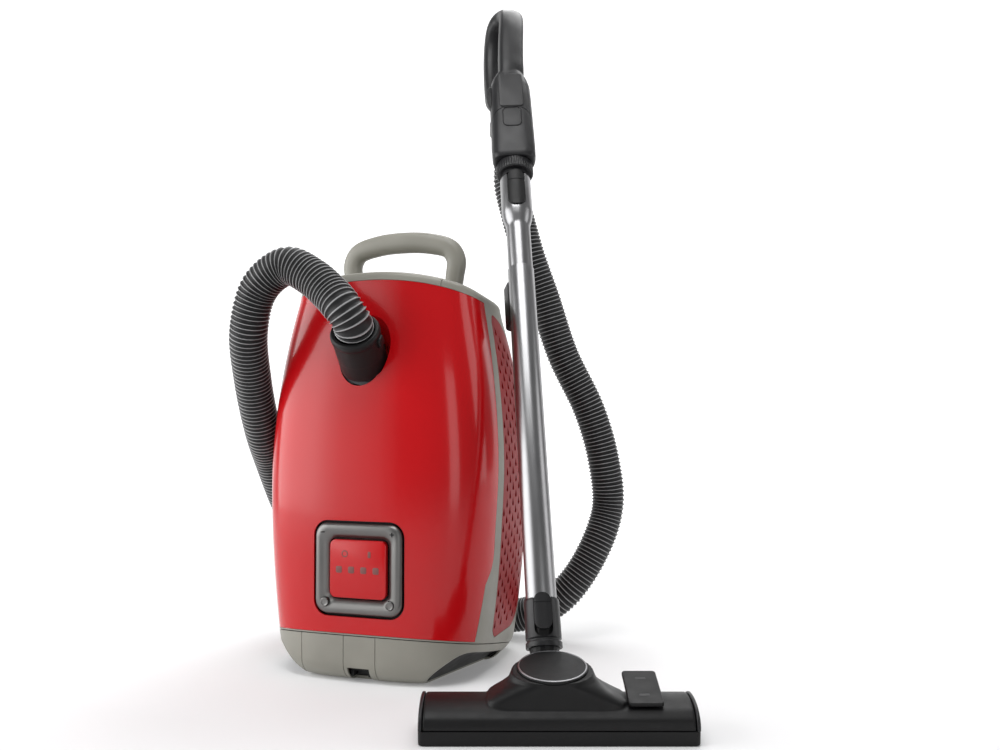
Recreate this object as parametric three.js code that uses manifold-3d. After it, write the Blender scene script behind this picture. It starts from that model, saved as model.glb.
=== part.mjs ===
// Canister vacuum cleaner, standing on its rear end, with its suction tool beside it.
// Millimetres. The origin is the middle of the canister's standing face,
// +X is the canister's right, +Y its back (the caster side) and +Z up.
import * as THREE from "three";
import { mergeVertices } from "three/addons/utils/BufferGeometryUtils.js";
import Module from "manifold-3d";

const wasm = await Module();
wasm.setup();

// ---------------------------------------------------------------- driving dimensions
const GAP = 0.4; // air between two pieces that touch on the real object
const WALL = 3.2; // moulded wall
const FAR = 300; // beyond the canister in every direction

const canister = {
  halfWidth: 161,
  front: 115, // depth in front of the widest line
  back: 140, // depth behind it
  widestHeight: 254,
  top: 525,
  crownBend: 0.0011, // how fast the top falls away to the sides
  crownSlope: 0.09, // how fast the top falls away to the back
  crownStart: -80,
  rimHeight: 12, // the band between the lid's top edge and the crown
  seamHeight: 60, // the seam between base and lid, at the very front
  seamSlope: 0.214,
  bottomRound: 26,
  topRound: 9,
};
const strip = {
  edge: [[-57, 122], [-43, 146], [-40.5, 194], [-34, 262], [-23, 352], [-9, 430], [0, 478], [8, 520]],
  foot: -66,
  width: 21,
  seam: 1.6,
};
const grille = { back: 100, low: 44, high: 476 };
const arch = { foot: 86, shoulder: 124, top: 38, slope: 0.214, back: 45, wall: 3 };
const park = { x: 0, width: 30, low: -1, high: 19 };
const latch = { x: 41, width: 30, front: -72, back: -48 };
const outletPlace = { z: 60, halfWidth: 16, halfTall: 8 };
const bezel = { height: 143, width: 120, tall: 115, corner: 17, window: 78, face: -118.5 };
const inlet = {
  base: new THREE.Vector3(-1, -104, 413.5),
  axis: new THREE.Vector3(0.1311, -0.7433, 0.6561).normalize(),
  cuffRadius: 31,
  cuffLength: 46,
  cup: [[33, -14], [34.5, 0], [46, 30], [60, 60]], // radius and height of the funnel round the cuff
};
const carry = { y: 25, halfWidth: 91, top: 594, thick: 26, bar: 31, corner: 34, leg: 24, foot: 466 };
const caster = { wheelRadius: 17, wheelWidth: 16, trail: 12, reach: 23, plate: 17, stem: 5, ear: 3 };
const casterPlaces = { left: [-98, 128], right: [98, 128], nose: [0, 392] };

const hoseRadius = 25;
const headTurn = THREE.MathUtils.degToRad(18);
const tool = {
  pivot: new THREE.Vector3(261.1, -173.3, 46.7),
  axis: new THREE.Vector3(-0.1715, 0.3915, 0.9041).normalize(),
  tubeRadius: 18,
  innerRadius: 16.8,
  outerStart: 60,
  outerEnd: 540,
  innerStart: 240,
  flareStart: 614,
  flareLength: 20,
  flareEnd: 694,
  flareRadius: 22,
  collarStart: 31,
  collarEnd: 86,
  bracketStart: 458,
  bracketEnd: 522,
  ringStart: 699,
  ringEnd: 721,
  ringRadius: 27,
  rearTurn: THREE.MathUtils.degToRad(15),
};
const head = { length: 290, half: 39, crest: 41, shellLow: 15.6, pivotX: -9.5, pivotY: 46.5, pivotZ: 46.7 };
const badge = { radius: 38, x: -4, y: 4, z: 66, tilt: THREE.MathUtils.degToRad(12), thick: 3 };

const colours = {
  red: { color: 0xb0181f, roughness: 0.18, metalness: 0 },
  grey: { color: 0x8d8a80, roughness: 0.45, metalness: 0 },
  black: { color: 0x17181a, roughness: 0.45, metalness: 0 },
  charcoal: { color: 0x2c2d30, roughness: 0.5, metalness: 0 },
  chrome: { color: 0xc9ccd0, roughness: 0.2, metalness: 1 },
  bezelMetal: { color: 0x5d5c5b, roughness: 0.35, metalness: 0.6 },
  hose: { color: 0x3a3b3d, roughness: 0.6, metalness: 0 },
  inner: { color: 0x4a4c50, roughness: 0.6, metalness: 0 },
  paper: { color: 0xd9d4c4, roughness: 0.95, metalness: 0 },
  board: { color: 0x1f5b38, roughness: 0.6, metalness: 0 },
  bristle: { color: 0x202020, roughness: 1, metalness: 0 },
};

// ---------------------------------------------------------------- geometry helpers
function merged(geometry) {
  const bare = geometry.clone();
  bare.deleteAttribute("normal");
  bare.deleteAttribute("uv");
  bare.clearGroups();
  return mergeVertices(bare, 1e-4);
}

function signedVolume(geometry) {
  const p = geometry.attributes.position;
  const index = geometry.index.array;
  const corner = [0, 1, 2].map(() => new THREE.Vector3());
  let volume = 0;
  for (let i = 0; i < index.length; i += 3) {
    corner.forEach((v, k) => v.fromBufferAttribute(p, index[i + k]));
    volume += corner[0].dot(corner[1].cross(corner[2])) / 6;
  }
  return volume;
}

/** Merged vertices, faces pointing out. */
function closed(geometry) {
  const result = merged(geometry);
  if (signedVolume(result) < 0) {
    const index = result.index.array;
    for (let i = 0; i < index.length; i += 3) {
      [index[i], index[i + 1]] = [index[i + 1], index[i]];
    }
  }
  return result;
}

function toSolid(geometry) {
  const good = closed(geometry);
  return new wasm.Manifold(new wasm.Mesh({
    numProp: 3,
    vertProperties: new Float32Array(good.attributes.position.array),
    triVerts: new Uint32Array(good.index.array),
  }));
}

function toGeometry(solid) {
  const mesh = solid.getMesh();
  const geometry = new THREE.BufferGeometry();
  geometry.setAttribute("position", new THREE.BufferAttribute(new Float32Array(mesh.vertProperties), 3));
  geometry.setIndex(new THREE.BufferAttribute(new Uint32Array(mesh.triVerts), 1));
  return geometry;
}

const combine = (how) => (first, ...others) =>
  toGeometry(others.reduce((sum, g) => sum[how](toSolid(g)), toSolid(first)));
const join = combine("add");
const cut = combine("subtract");
const common = combine("intersect");

/** The largest of the separate bodies in a geometry. */
function largest(geometry) {
  const bodies = toSolid(geometry).decompose();
  bodies.sort((a, b) => b.volume() - a.volume());
  return toGeometry(bodies[0]);
}

function box(x0, x1, y0, y1, z0, z1) {
  const geometry = new THREE.BoxGeometry(x1 - x0, y1 - y0, z1 - z0);
  return geometry.translate((x0 + x1) / 2, (y0 + y1) / 2, (z0 + z1) / 2);
}

/** Turn a shape made along +Z so that it runs from `from` along `direction`. */
function aim(geometry, from, direction) {
  const turn = new THREE.Quaternion().setFromUnitVectors(new THREE.Vector3(0, 0, 1), direction);
  return geometry.applyQuaternion(turn).translate(from.x, from.y, from.z);
}

/** A body of revolution about +Z from [radius, height] points. */
function lathe(profile, segments = 20) {
  const points = profile.map(([r, z]) => new THREE.Vector2(r, z));
  return closed(new THREE.LatheGeometry(points, segments).rotateX(Math.PI / 2));
}

/** A cylinder about +Z between two heights. */
function drum(radius, z0, z1, segments = 20) {
  return lathe([[0, z0], [radius, z0], [radius, z1], [0, z1]], segments);
}

/** A tube about +Z. */
function sleeve(outer, inner, z0, z1, segments = 20) {
  return lathe([[inner, z0], [outer, z0], [outer, z1], [inner, z1], [inner, z0]], segments);
}

/** A rod between two points. */
function rod(from, to, radius, segments = 16) {
  const direction = to.clone().sub(from);
  const length = direction.length();
  return aim(drum(radius, 0, length, segments), from, direction.normalize());
}

const vec = (x, y, z) => new THREE.Vector3(x, y, z);
const rodX = (x0, x1, y, z, r, n) => rod(vec(x0, y, z), vec(x1, y, z), r, n);
const rodY = (x, y0, y1, z, r, n) => rod(vec(x, y0, z), vec(x, y1, z), r, n);

/** A rectangle with round corners, in the XY plane. */
function roundedRectangle(width, tall, corner, arcSteps = 5) {
  const w = width / 2 - corner;
  const t = tall / 2 - corner;
  const shape = new THREE.Shape();
  [[w, t, 0], [-w, t, 1], [-w, -t, 2], [w, -t, 3]].forEach(([x, y, quarter]) => {
    for (let i = 0; i <= arcSteps; i += 1) {
      const angle = (quarter + i / arcSteps) * Math.PI / 2;
      const px = x + corner * Math.cos(angle);
      const py = y + corner * Math.sin(angle);
      if (quarter === 0 && i === 0) shape.moveTo(px, py);
      else shape.lineTo(px, py);
    }
  });
  return shape;
}

/** A plate facing the front: a rounded rectangle in X and Z, between two depths. */
function frontPlate(width, tall, corner, x, z, y0, y1) {
  const plate = new THREE.ExtrudeGeometry(roundedRectangle(width, tall, corner), {
    depth: y1 - y0,
    bevelEnabled: false,
  });
  return closed(plate.rotateX(Math.PI / 2).translate(x, y1, z));
}

/** An outline of [y, z] points carried along X. */
function alongX(outline, x0, x1) {
  const shape = new THREE.Shape(outline.map(([y, z]) => new THREE.Vector2(y, z)));
  const bar = new THREE.ExtrudeGeometry(shape, { depth: x1 - x0, bevelEnabled: false });
  const turn = new THREE.Matrix4().makeBasis(vec(0, 1, 0), vec(0, 0, 1), vec(1, 0, 0));
  return closed(bar.applyMatrix4(turn).translate(x0, 0, 0));
}

/** A closed body through rings that have equally many points. */
function loft(rings) {
  const count = rings[0].length;
  const points = rings.flat();
  const faces = [];
  for (let r = 0; r + 1 < rings.length; r += 1) {
    for (let i = 0; i < count; i += 1) {
      const a = r * count + i;
      const b = r * count + (i + 1) % count;
      faces.push(a, b, b + count, a, b + count, a + count);
    }
  }
  [0, rings.length - 1].forEach((r) => {
    const centre = rings[r].reduce((s, p) => s.add(p), vec(0, 0, 0)).divideScalar(count);
    const middle = points.push(centre) - 1;
    for (let i = 0; i < count; i += 1) {
      const a = r * count + i;
      const b = r * count + (i + 1) % count;
      faces.push(...(r === 0 ? [b, a, middle] : [a, b, middle]));
    }
  });
  const geometry = new THREE.BufferGeometry().setFromPoints(points);
  geometry.setIndex(faces);
  return closed(geometry);
}

/** A round tube along a smooth line through points. */
function tubeThrough(points, radius, sides, steps) {
  const path = new THREE.CatmullRomCurve3(points, false, "centripetal");
  const section = new THREE.Shape();
  for (let i = 0; i < sides; i += 1) {
    const angle = (2 * Math.PI * i) / sides;
    const x = radius * Math.cos(angle);
    const y = radius * Math.sin(angle);
    if (i === 0) section.moveTo(x, y);
    else section.lineTo(x, y);
  }
  return closed(new THREE.ExtrudeGeometry(section, { extrudePath: path, steps, bevelEnabled: false }));
}

// ---------------------------------------------------------------- the group
const group = new THREE.Group();

function add(parent, name, geometry, look) {
  const solid = geometry.index ? geometry : closed(geometry);
  const mesh = new THREE.Mesh(solid, new THREE.MeshStandardMaterial(colours[look]));
  mesh.name = name;
  parent.add(mesh);
}

// ---------------------------------------------------------------- the canister's outer form
function sideAt(z) {
  const { halfWidth, widestHeight } = canister;
  if (z > widestHeight) return halfWidth * (1 - 0.2 * ((z - widestHeight) / 252) ** 1.7);
  return halfWidth * (1 - 0.07 * ((widestHeight - z) / 176) ** 2);
}

const frontAt = (z) => canister.front * (1 - 0.3 * (Math.max(z - 150, 0) / 375) ** 3);
const backAt = (z) => canister.back * (1 - 0.2 * (Math.max(z - 300, 0) / 225) ** 2);

function crownAt(x, y) {
  const slope = canister.crownSlope * (y - canister.crownStart);
  return canister.top - canister.crownBend * x * x - slope;
}

/** One horizontal outline: round in front, squarer behind. */
function outline(z, inset, count = 28) {
  const a = sideAt(z) - inset;
  const points = [];
  for (let i = 0; i < count; i += 1) {
    const angle = (2 * Math.PI * (i + 0.5)) / count;
    const behind = Math.sin(angle) > 0;
    const power = 2 / (behind ? 6 : 3.4);
    const depth = (behind ? backAt(z) : frontAt(z)) - inset;
    const x = a * Math.sign(Math.cos(angle)) * Math.abs(Math.cos(angle)) ** power;
    const y = depth * Math.sign(Math.sin(angle)) * Math.abs(Math.sin(angle)) ** power;
    points.push([x, y]);
  }
  return points;
}

/** The canister's outer form, made smaller all round by `inset`. */
function canisterForm(inset = 0) {
  const rings = [];
  const lowRound = canister.bottomRound;
  for (let i = 0; i <= 3; i += 1) {
    const angle = (i / 3) * (Math.PI / 2);
    const z = lowRound * (1 - Math.cos(angle));
    const pull = lowRound * (1 - Math.sin(angle)) + inset;
    rings.push(outline(z, pull).map(([x, y]) => vec(x, y, Math.max(z, inset))));
  }
  for (const z of [62, 130, canister.widestHeight, 300, 370, 430, 470]) {
    rings.push(outline(z, inset).map(([x, y]) => {
      const lean = Math.max(0, z - canister.widestHeight) / (canister.top - canister.widestHeight);
      return vec(x, y, z + lean * (crownAt(x, y) - canister.top) * 0.9);
    }));
  }
  for (let i = 0; i <= 2; i += 1) {
    const angle = (i / 2) * (Math.PI / 2);
    const pull = canister.topRound * (1 - Math.cos(angle)) + inset;
    const drop = canister.topRound * (1 - Math.sin(angle)) + inset;
    const shoulder = outline(canister.top - canister.rimHeight, pull);
    rings.push(shoulder.map(([x, y]) => vec(x, y, crownAt(x, y) - drop)));
  }
  return loft(rings);
}

/** Everything under the crown surface, lowered by `drop`. */
function underCrown(drop) {
  const reach = 200;
  const shape = [[-reach, -50], [reach, -50]];
  for (let x = reach; x >= -reach; x -= 25) shape.push([x, crownAt(x, canister.crownStart) - drop]);
  const section = new THREE.Shape(shape.map(([x, z]) => new THREE.Vector2(x, z)));
  const block = new THREE.ExtrudeGeometry(section, { depth: 2 * reach, bevelEnabled: false });
  block.rotateX(Math.PI / 2).translate(0, reach, 0);
  const shear = new THREE.Matrix4().set(
    1, 0, 0, 0,
    0, 1, 0, 0,
    0, -canister.crownSlope, 1, canister.crownSlope * canister.crownStart,
    0, 0, 0, 1,
  );
  return closed(block.applyMatrix4(shear));
}

const seamAt = (y) => canister.seamHeight - canister.seamSlope * (y + canister.front);

/** The side view of what lies above the base seam and in front of the side strip. */
function lidRegion(margin) {
  const above = strip.seam + margin;
  return common(
    alongX([
      [-FAR, seamAt(-FAR) + above],
      [strip.foot - margin, seamAt(strip.foot) + above],
      ...strip.edge.map(([y, z]) => [y - margin, z]),
      [strip.edge.at(-1)[0] - margin, 2 * FAR],
      [-FAR, 2 * FAR],
    ], -FAR, FAR),
    underCrown(canister.rimHeight + margin),
  );
}

function grilleRegion(margin, side) {
  const low = grille.low + margin;
  const high = grille.high - margin;
  const back = grille.back - margin;
  const front = strip.edge.slice(2, -1).map(([y, z]) => [y + strip.width + margin, Math.min(z, high - 8)]);
  const bottom = front[0][0];
  const top = front.at(-1)[0];
  const x = side * 90;
  return alongX([
    [bottom, low + 12],
    [bottom + 12, low],
    [back - 26, low],
    [back, low + 26],
    [back, high - 60],
    [back - 30, high - 14],
    [top + 10, high],
    ...front.toReversed(),
  ], Math.min(x, side * 200), Math.max(x, side * 200));
}

const outer = canisterForm();
const inner = canisterForm(WALL);
const skin = cut(outer, inner);
const aboveSeam = alongX([
  [-FAR, seamAt(-FAR)], [FAR, seamAt(FAR)], [FAR, 2 * FAR], [-FAR, 2 * FAR],
], -FAR, FAR);
const belowSeam = alongX([
  [-FAR, seamAt(-FAR) - GAP], [FAR, seamAt(FAR) - GAP], [FAR, -FAR], [-FAR, -FAR],
], -FAR, FAR);

// ---------------------------------------------------------------- body shell with its deck
const deck = { low: 205, high: 208.5, filterHole: 44, filterY: 20 };

/** The floor of the dust compartment. It joins the shell only at the back. */
function motorDeck() {
  const { low, high, filterHole, filterY } = deck;
  const plate = box(-FAR, FAR, -100, FAR, low, high);
  const rearEdge = common(canisterForm(WALL - 0.6), box(-FAR, FAR, grille.back + 4, FAR, 0, 2 * FAR));
  return cut(
    join(common(plate, canisterForm(WALL + GAP)), common(plate, rearEdge)),
    box(-filterHole, filterHole, filterY - filterHole, filterY + filterHole, low - 5, high + 5),
  );
}

function casterBosses() {
  return Object.values(casterPlaces).map(([x, z]) => rodY(x, backAt(z) - 20, backAt(z) - 1.5, z, 9));
}

const handleSlot = (side) => {
  const middle = side * (carry.halfWidth - carry.leg / 2);
  const half = carry.leg / 2 + GAP;
  const reach = carry.thick / 2 + GAP;
  return box(middle - half, middle + half, carry.y - reach, carry.y + reach, carry.foot - GAP, 530);
};
const latchPocket = box(
  latch.x - latch.width / 2, latch.x + latch.width / 2,
  latch.front, latch.back, 480, 560,
);
const shell = cut(
  join(
    cut(common(skin, aboveSeam), lidRegion(0), grilleRegion(0, 1), grilleRegion(0, -1)),
    motorDeck(),
    ...casterBosses(),
  ),
  latchPocket,
  box(
    -outletPlace.halfWidth, outletPlace.halfWidth, 100, 160,
    outletPlace.z - outletPlace.halfTall, outletPlace.z + outletPlace.halfTall,
  ),
  ...[-1, 1].map((side) => handleSlot(side)),
  ...Object.values(casterPlaces).map(([x, z]) => rodY(x, backAt(z) - 14, 160, z, caster.stem + GAP)),
);
add(group, "body_shell", shell, "grey");

// ---------------------------------------------------------------- base
/** The space under one side of the base, made larger all round by `grow`. Its roof keeps to the seam. */
function archSpace(side, grow) {
  const section = new THREE.Shape([
    [arch.foot - 8, -8], [arch.foot, 0], [arch.shoulder, arch.top - 5], [arch.shoulder + 10, arch.top],
    [FAR, arch.top], [FAR, -8],
  ].map(([x, z]) => new THREE.Vector2(side * (x - grow), z + grow)));
  const length = FAR + arch.back + grow;
  const block = new THREE.ExtrudeGeometry(section, { depth: length, bevelEnabled: false });
  block.rotateX(Math.PI / 2).translate(0, arch.back + grow, 0);
  const shear = new THREE.Matrix4().set(
    1, 0, 0, 0,
    0, 1, 0, 0,
    0, -arch.slope, 1, -arch.slope * 63,
    0, 0, 0, 1,
  );
  return closed(block.applyMatrix4(shear));
}

const baseShell = cut(
  common(cut(outer, canisterForm(WALL + 0.8)), belowSeam),
  archSpace(1, 0),
  archSpace(-1, 0),
  box(park.x - park.width / 2, park.x + park.width / 2, -130, -90, park.low, park.high),
);
add(group, "base", baseShell, "grey");

/** The wall that closes the base above one of its raised sides. */
function archLiner(side) {
  return largest(common(
    cut(archSpace(side, arch.wall), archSpace(side, 0)),
    common(canisterForm(WALL + 1.4), box(-FAR, FAR, -FAR, FAR, 4.5, 60)),
  ));
}
add(group, "arch_liner_right", archLiner(1), "black");
add(group, "arch_liner_left", archLiner(-1), "black");

const socket = cut(
  box(park.x - park.width / 2 + GAP, park.x + park.width / 2 - GAP, -104, -86, 6.5, park.high - GAP),
  box(park.x - 10, park.x + 10, -110, -94, 4, 14),
);
add(group, "parking_socket", socket, "black");

const outlet = cut(
  box(
    GAP - outletPlace.halfWidth, outletPlace.halfWidth - GAP, 134, 143,
    outletPlace.z - outletPlace.halfTall + GAP, outletPlace.z + outletPlace.halfTall - GAP,
  ),
  rodY(0, 130, 150, outletPlace.z, 4.5),
);
add(group, "cord_outlet", outlet, "black");

// ---------------------------------------------------------------- side grilles
[["right", 1], ["left", -1]].forEach(([name, side]) => {
  add(group, `grille_${name}`, common(skin, grilleRegion(GAP, side)), "red");
});

// ---------------------------------------------------------------- lid
const cupAim = (geometry) => aim(geometry, inlet.base, inlet.axis);

function lidGeometry() {
  const plain = common(skin, lidRegion(GAP));
  const funnel = (grow, low) => cupAim(lathe([
    [0, low], ...inlet.cup.map(([r, z]) => [r + grow, z === inlet.cup[0][1] ? low : z]), [0, 60],
  ], 28));
  const cup = common(
    cut(funnel(WALL, -18), funnel(0, -14)),
    common(canisterForm(0.6), lidRegion(GAP + 1)),
  );
  const pocket = frontPlate(bezel.width + 5, bezel.tall + 5, bezel.corner + 2, 0, bezel.height, -140, -80);
  return cut(
    join(cut(plain, funnel(0, -14), pocket), cup),
    cupAim(drum(inlet.cuffRadius + 0.6, -60, 20, 28)),
  );
}
add(group, "lid", largest(lidGeometry()), "red");

const tray = join(
  frontPlate(bezel.width + 16, bezel.tall + 16, bezel.corner + 5, 0, bezel.height, -106.4, -102.4),
  frontPlate(bezel.width + 4, bezel.tall + 4, bezel.corner + 1.5, 0, bezel.height, -108.4, -106),
);
add(group, "bezel_tray", tray, "black");
add(
  group, "display_panel",
  frontPlate(bezel.window, bezel.window, 8, 0, bezel.height, -115.6, -108.4 - GAP), "red",
);

const buttonPlace = { x: bezel.width / 2 - 15, z: bezel.height - bezel.tall / 2 + 15, radius: 5.6 };
const ringHole = frontPlate(bezel.window + 5, bezel.window + 5, 10, 0, bezel.height, -140, -100);
const ring = cut(
  frontPlate(bezel.width, bezel.tall, bezel.corner, 0, bezel.height, bezel.face, -110.6),
  ringHole,
  rodY(buttonPlace.x, -130, -100, buttonPlace.z, buttonPlace.radius + 0.5),
  rodY(-buttonPlace.x, -130, -100, buttonPlace.z, buttonPlace.radius + 0.5),
);
add(group, "bezel_ring", ring, "bezelMetal");
[["power_button", -1], ["rewind_button", 1]].forEach(([name, side]) => {
  const stem = rodY(side * buttonPlace.x, bezel.face - 1.2, -111.6, buttonPlace.z, buttonPlace.radius, 24);
  add(group, name, stem, "bezelMetal");
});

// lid latch: a button in the rim above the lid
const latchCap = common(
  box(
    latch.x - latch.width / 2 + GAP, latch.x + latch.width / 2 - GAP,
    latch.front + GAP, latch.back - GAP, 492, 560,
  ),
  underCrown(-0.8),
);
add(group, "lid_latch", latchCap, "grey");

// ---------------------------------------------------------------- inlet cuff
const cuffProfile = [
  [22, -17], [inlet.cuffRadius, -17], [inlet.cuffRadius, 44],
  [inlet.cuffRadius - 3, inlet.cuffLength], [22, inlet.cuffLength], [22, -17],
];
const catchPlace = { low: 24, high: 38, halfWidth: 6 };
const cuffPocket = box(
  inlet.cuffRadius - 4, inlet.cuffRadius + 9,
  -catchPlace.halfWidth - GAP, catchPlace.halfWidth + GAP,
  catchPlace.low - GAP, catchPlace.high + GAP,
);
add(group, "hose_cuff", cupAim(cut(lathe(cuffProfile, 28), cuffPocket)), "black");
const cuffCatch = box(
  inlet.cuffRadius - 2, inlet.cuffRadius + 3.5,
  -catchPlace.halfWidth, catchPlace.halfWidth, catchPlace.low, catchPlace.high,
);
add(group, "cuff_latch", cupAim(cuffCatch), "black");

// ---------------------------------------------------------------- carry handle
function carryHandle() {
  const { halfWidth, top, bar, corner, y, thick, leg, foot } = carry;
  const inside = halfWidth - leg;
  const underside = top - bar;
  const small = 16;
  const shape = new THREE.Shape();
  const arc = (cx, cz, r, from, to, steps = 6) => {
    for (let i = 0; i <= steps; i += 1) {
      const angle = from + ((to - from) * i) / steps;
      shape.lineTo(cx + r * Math.cos(angle), cz + r * Math.sin(angle));
    }
  };
  shape.moveTo(halfWidth, foot);
  arc(halfWidth - corner, top - corner, corner, 0, Math.PI / 2);
  arc(corner - halfWidth, top - corner, corner, Math.PI / 2, Math.PI);
  shape.lineTo(-halfWidth, foot);
  shape.lineTo(-inside, foot);
  arc(small - inside, underside - small, small, Math.PI, Math.PI / 2);
  arc(inside - small, underside - small, small, Math.PI / 2, 0);
  shape.lineTo(inside, foot);
  const loop = new THREE.ExtrudeGeometry(shape, { depth: thick, bevelEnabled: false });
  return closed(loop.rotateX(Math.PI / 2).translate(0, y + thick / 2, 0));
}
add(group, "carry_handle", carryHandle(), "grey");

// ---------------------------------------------------------------- inside the canister
const motorPlace = { x: -62, y: 20 };
const reelPlace = { x: 72, y: 20 };
const atMotor = (geometry) => geometry.translate(motorPlace.x, motorPlace.y, 0);
const atReel = (geometry) => geometry.translate(reelPlace.x, reelPlace.y, 0);

add(group, "motor_housing", atMotor(lathe([
  [53, 66], [56, 66], [56, 196], [20, 196], [20, 193], [53, 193], [53, 66],
])), "inner");
add(group, "motor", atMotor(lathe([
  [0, 70], [38, 70], [38, 140], [50, 140], [50, 150], [4, 150], [4, 182], [0, 182],
])), "inner");
add(group, "fan_rotor", atMotor(lathe([
  [4.4, 154], [47, 154], [47, 158], [20, 172], [10, 178], [4.4, 178], [4.4, 154],
])), "chrome");
add(group, "reel_bracket", join(
  box(reelPlace.x - 32, reelPlace.x + 32, -12, 52, 73, 77),
  atReel(drum(6, 76, 126)),
), "inner");
add(group, "cord_drum", atReel(lathe([
  [6.4, 80], [56, 80], [56, 83], [24, 83], [24, 117], [56, 117], [56, 120], [6.4, 120], [6.4, 80],
])), "inner");
add(group, "circuit_board", box(-40, 40, -97, -94.6, 110, 185), "board");
add(group, "motor_filter", box(-50, 50, -30, 70, deck.high + GAP, deck.high + 10), "paper");
add(group, "exhaust_filter", box(129, 140, 12, 84, 92, 176), "paper");

const insideLid = canisterForm(WALL + 0.6);
const holderPlate = cut(box(-200, 200, -34, 56, -26, -22.5), drum(24, -30, -20));
add(group, "bag_holder", common(cupAim(holderPlate), insideLid), "inner");

const bag = { width: 224, depth: 186, corner: 50, y: 18, low: 224, high: 436, soft: 26, wall: 4 };

/** A pillow with soft edges, made smaller all round by `inset`. */
function bagForm(inset) {
  const steps = 3;
  const rings = [];
  const addRing = (pull, z) => {
    const less = pull + inset;
    const shape = roundedRectangle(bag.width - 2 * less, bag.depth - 2 * less, bag.corner - less);
    rings.push(shape.getPoints().slice(0, 24).map((p) => vec(p.x, p.y + bag.y, z)));
  };
  for (let i = 0; i <= steps; i += 1) {
    const angle = (i / steps) * (Math.PI / 2);
    addRing(bag.soft * (1 - Math.sin(angle)), bag.low + inset + bag.soft * (1 - Math.cos(angle)));
  }
  for (let i = 0; i <= steps; i += 1) {
    const angle = (i / steps) * (Math.PI / 2);
    addRing(bag.soft * (1 - Math.cos(angle)), bag.high - inset - bag.soft * (1 - Math.sin(angle)));
  }
  return loft(rings);
}
const holderBack = -26.6;
const beyondHolder = (depth) => cupAim(box(-FAR, FAR, -FAR, FAR, depth, FAR));
add(group, "dust_bag", cut(
  bagForm(0),
  cut(bagForm(bag.wall), beyondHolder(holderBack - bag.wall)),
  beyondHolder(holderBack),
  cupAim(drum(22, -60, 0)),
), "paper");

// ---------------------------------------------------------------- casters
for (const [name, [x, z]] of Object.entries(casterPlaces)) {
  const back = backAt(z);
  const axle = { y: back + caster.reach, z: z - caster.trail };
  const inside = caster.wheelWidth / 2 + 1.2;
  const outside = inside + caster.ear;
  const ear = (x0, x1) => box(x0, x1, back + 2, axle.y + 6, axle.z - 6, axle.z + 12);
  const fork = join(
    rodY(x, back + GAP, back + 3.4, z, caster.plate, 24),
    rodY(x, back - 13, back + 2, z, caster.stem),
    ear(x - outside, x - inside),
    ear(x + inside, x + outside),
    rodX(x - inside - 1, x + inside + 1, axle.y, axle.z, 3),
  );
  add(group, `caster_fork_${name}`, fork, "black");
  const half = caster.wheelWidth / 2;
  const r = caster.wheelRadius;
  const wheel = lathe([
    [3.4, -half], [r - 3, -half], [r, -half + 3], [r, half - 3], [r - 3, half], [3.4, half], [3.4, -half],
  ], 24);
  add(group, `caster_wheel_${name}`, aim(wheel, vec(x, axle.y, axle.z), vec(1, 0, 0)), "black");
}

// ---------------------------------------------------------------- suction tool frame
// The tool's own frame: origin at the neck pivot, +Z up the wand, +X the head's length.
const headAxis = vec(Math.cos(headTurn), Math.sin(headTurn), 0);
const across = headAxis.clone().addScaledVector(tool.axis, -headAxis.dot(tool.axis)).normalize();
const toolBack = tool.axis.clone().cross(across);
const wand = new THREE.Group();
wand.quaternion.setFromRotationMatrix(new THREE.Matrix4().makeBasis(across, toolBack, tool.axis));
wand.position.copy(tool.pivot);
group.add(wand);

const rear = vec(-Math.sin(tool.rearTurn), Math.cos(tool.rearTurn), 0);
/** A point in the wand's frame, `back` behind the wand's axis in the grip's plane. */
const behind = (back, t) => rear.clone().multiplyScalar(back).setZ(t);
const toWorld = (p) => tool.pivot.clone()
  .addScaledVector(across, p.x).addScaledVector(toolBack, p.y).addScaledVector(tool.axis, p.z);
const turnedToRear = (geometry) => geometry.rotateZ(tool.rearTurn);

const hosePort = {
  from: behind(10, 812),
  direction: vec(-0.02, 0.42, -0.907).normalize(),
  start: 14,
  end: 48,
};
const portAim = (geometry) => aim(geometry, hosePort.from, hosePort.direction);

// tubes
add(wand, "outer_tube", sleeve(tool.tubeRadius, 17.2, tool.outerStart, tool.outerEnd), "chrome");
const latchWindow = box(-12.5, 12.5, -40, -10, 636, 730);
add(wand, "inner_tube", cut(lathe([
  [15.6, tool.innerStart], [tool.innerRadius, tool.innerStart], [tool.innerRadius, tool.flareStart],
  [tool.flareRadius, tool.flareStart + tool.flareLength], [tool.flareRadius, tool.flareEnd],
  [20.8, tool.flareEnd], [20.8, tool.flareStart + tool.flareLength],
  [15.6, tool.flareStart], [15.6, tool.innerStart],
]), latchWindow), "chrome");

const bracketBody = cut(
  box(-19, 19, -2, 29, tool.bracketStart, tool.bracketEnd),
  drum(tool.tubeRadius + GAP, 400, 600),
  box(-8.5, 8.5, 24, 40, tool.bracketStart + 12, tool.bracketEnd - 12),
);
add(wand, "telescope_bracket", turnedToRear(bracketBody), "black");
add(wand, "telescope_release", turnedToRear(box(
  -8, 8, 24.5, 32, tool.bracketStart + 13, tool.bracketEnd - 19,
)), "black");

// neck
const collar = cut(
  lathe([
    [17.7, tool.collarStart], [20.2, tool.collarStart], [20.2, tool.collarEnd - 2], [19.4, tool.collarEnd],
    [18.4, tool.collarEnd], [18.4, 59.5], [17.7, 59.5], [17.7, tool.collarStart],
  ]),
  box(-10.5, 10.5, -40, -10, 41, 100),
);
add(wand, "neck_collar", collar, "black");
const latchArc = cut(
  common(drum(22.8, 48, 90), box(-10, 10, -40, -10, 48, 90)),
  drum(19.6, 40, 95),
);
add(wand, "collar_latch", latchArc, "black");

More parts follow.
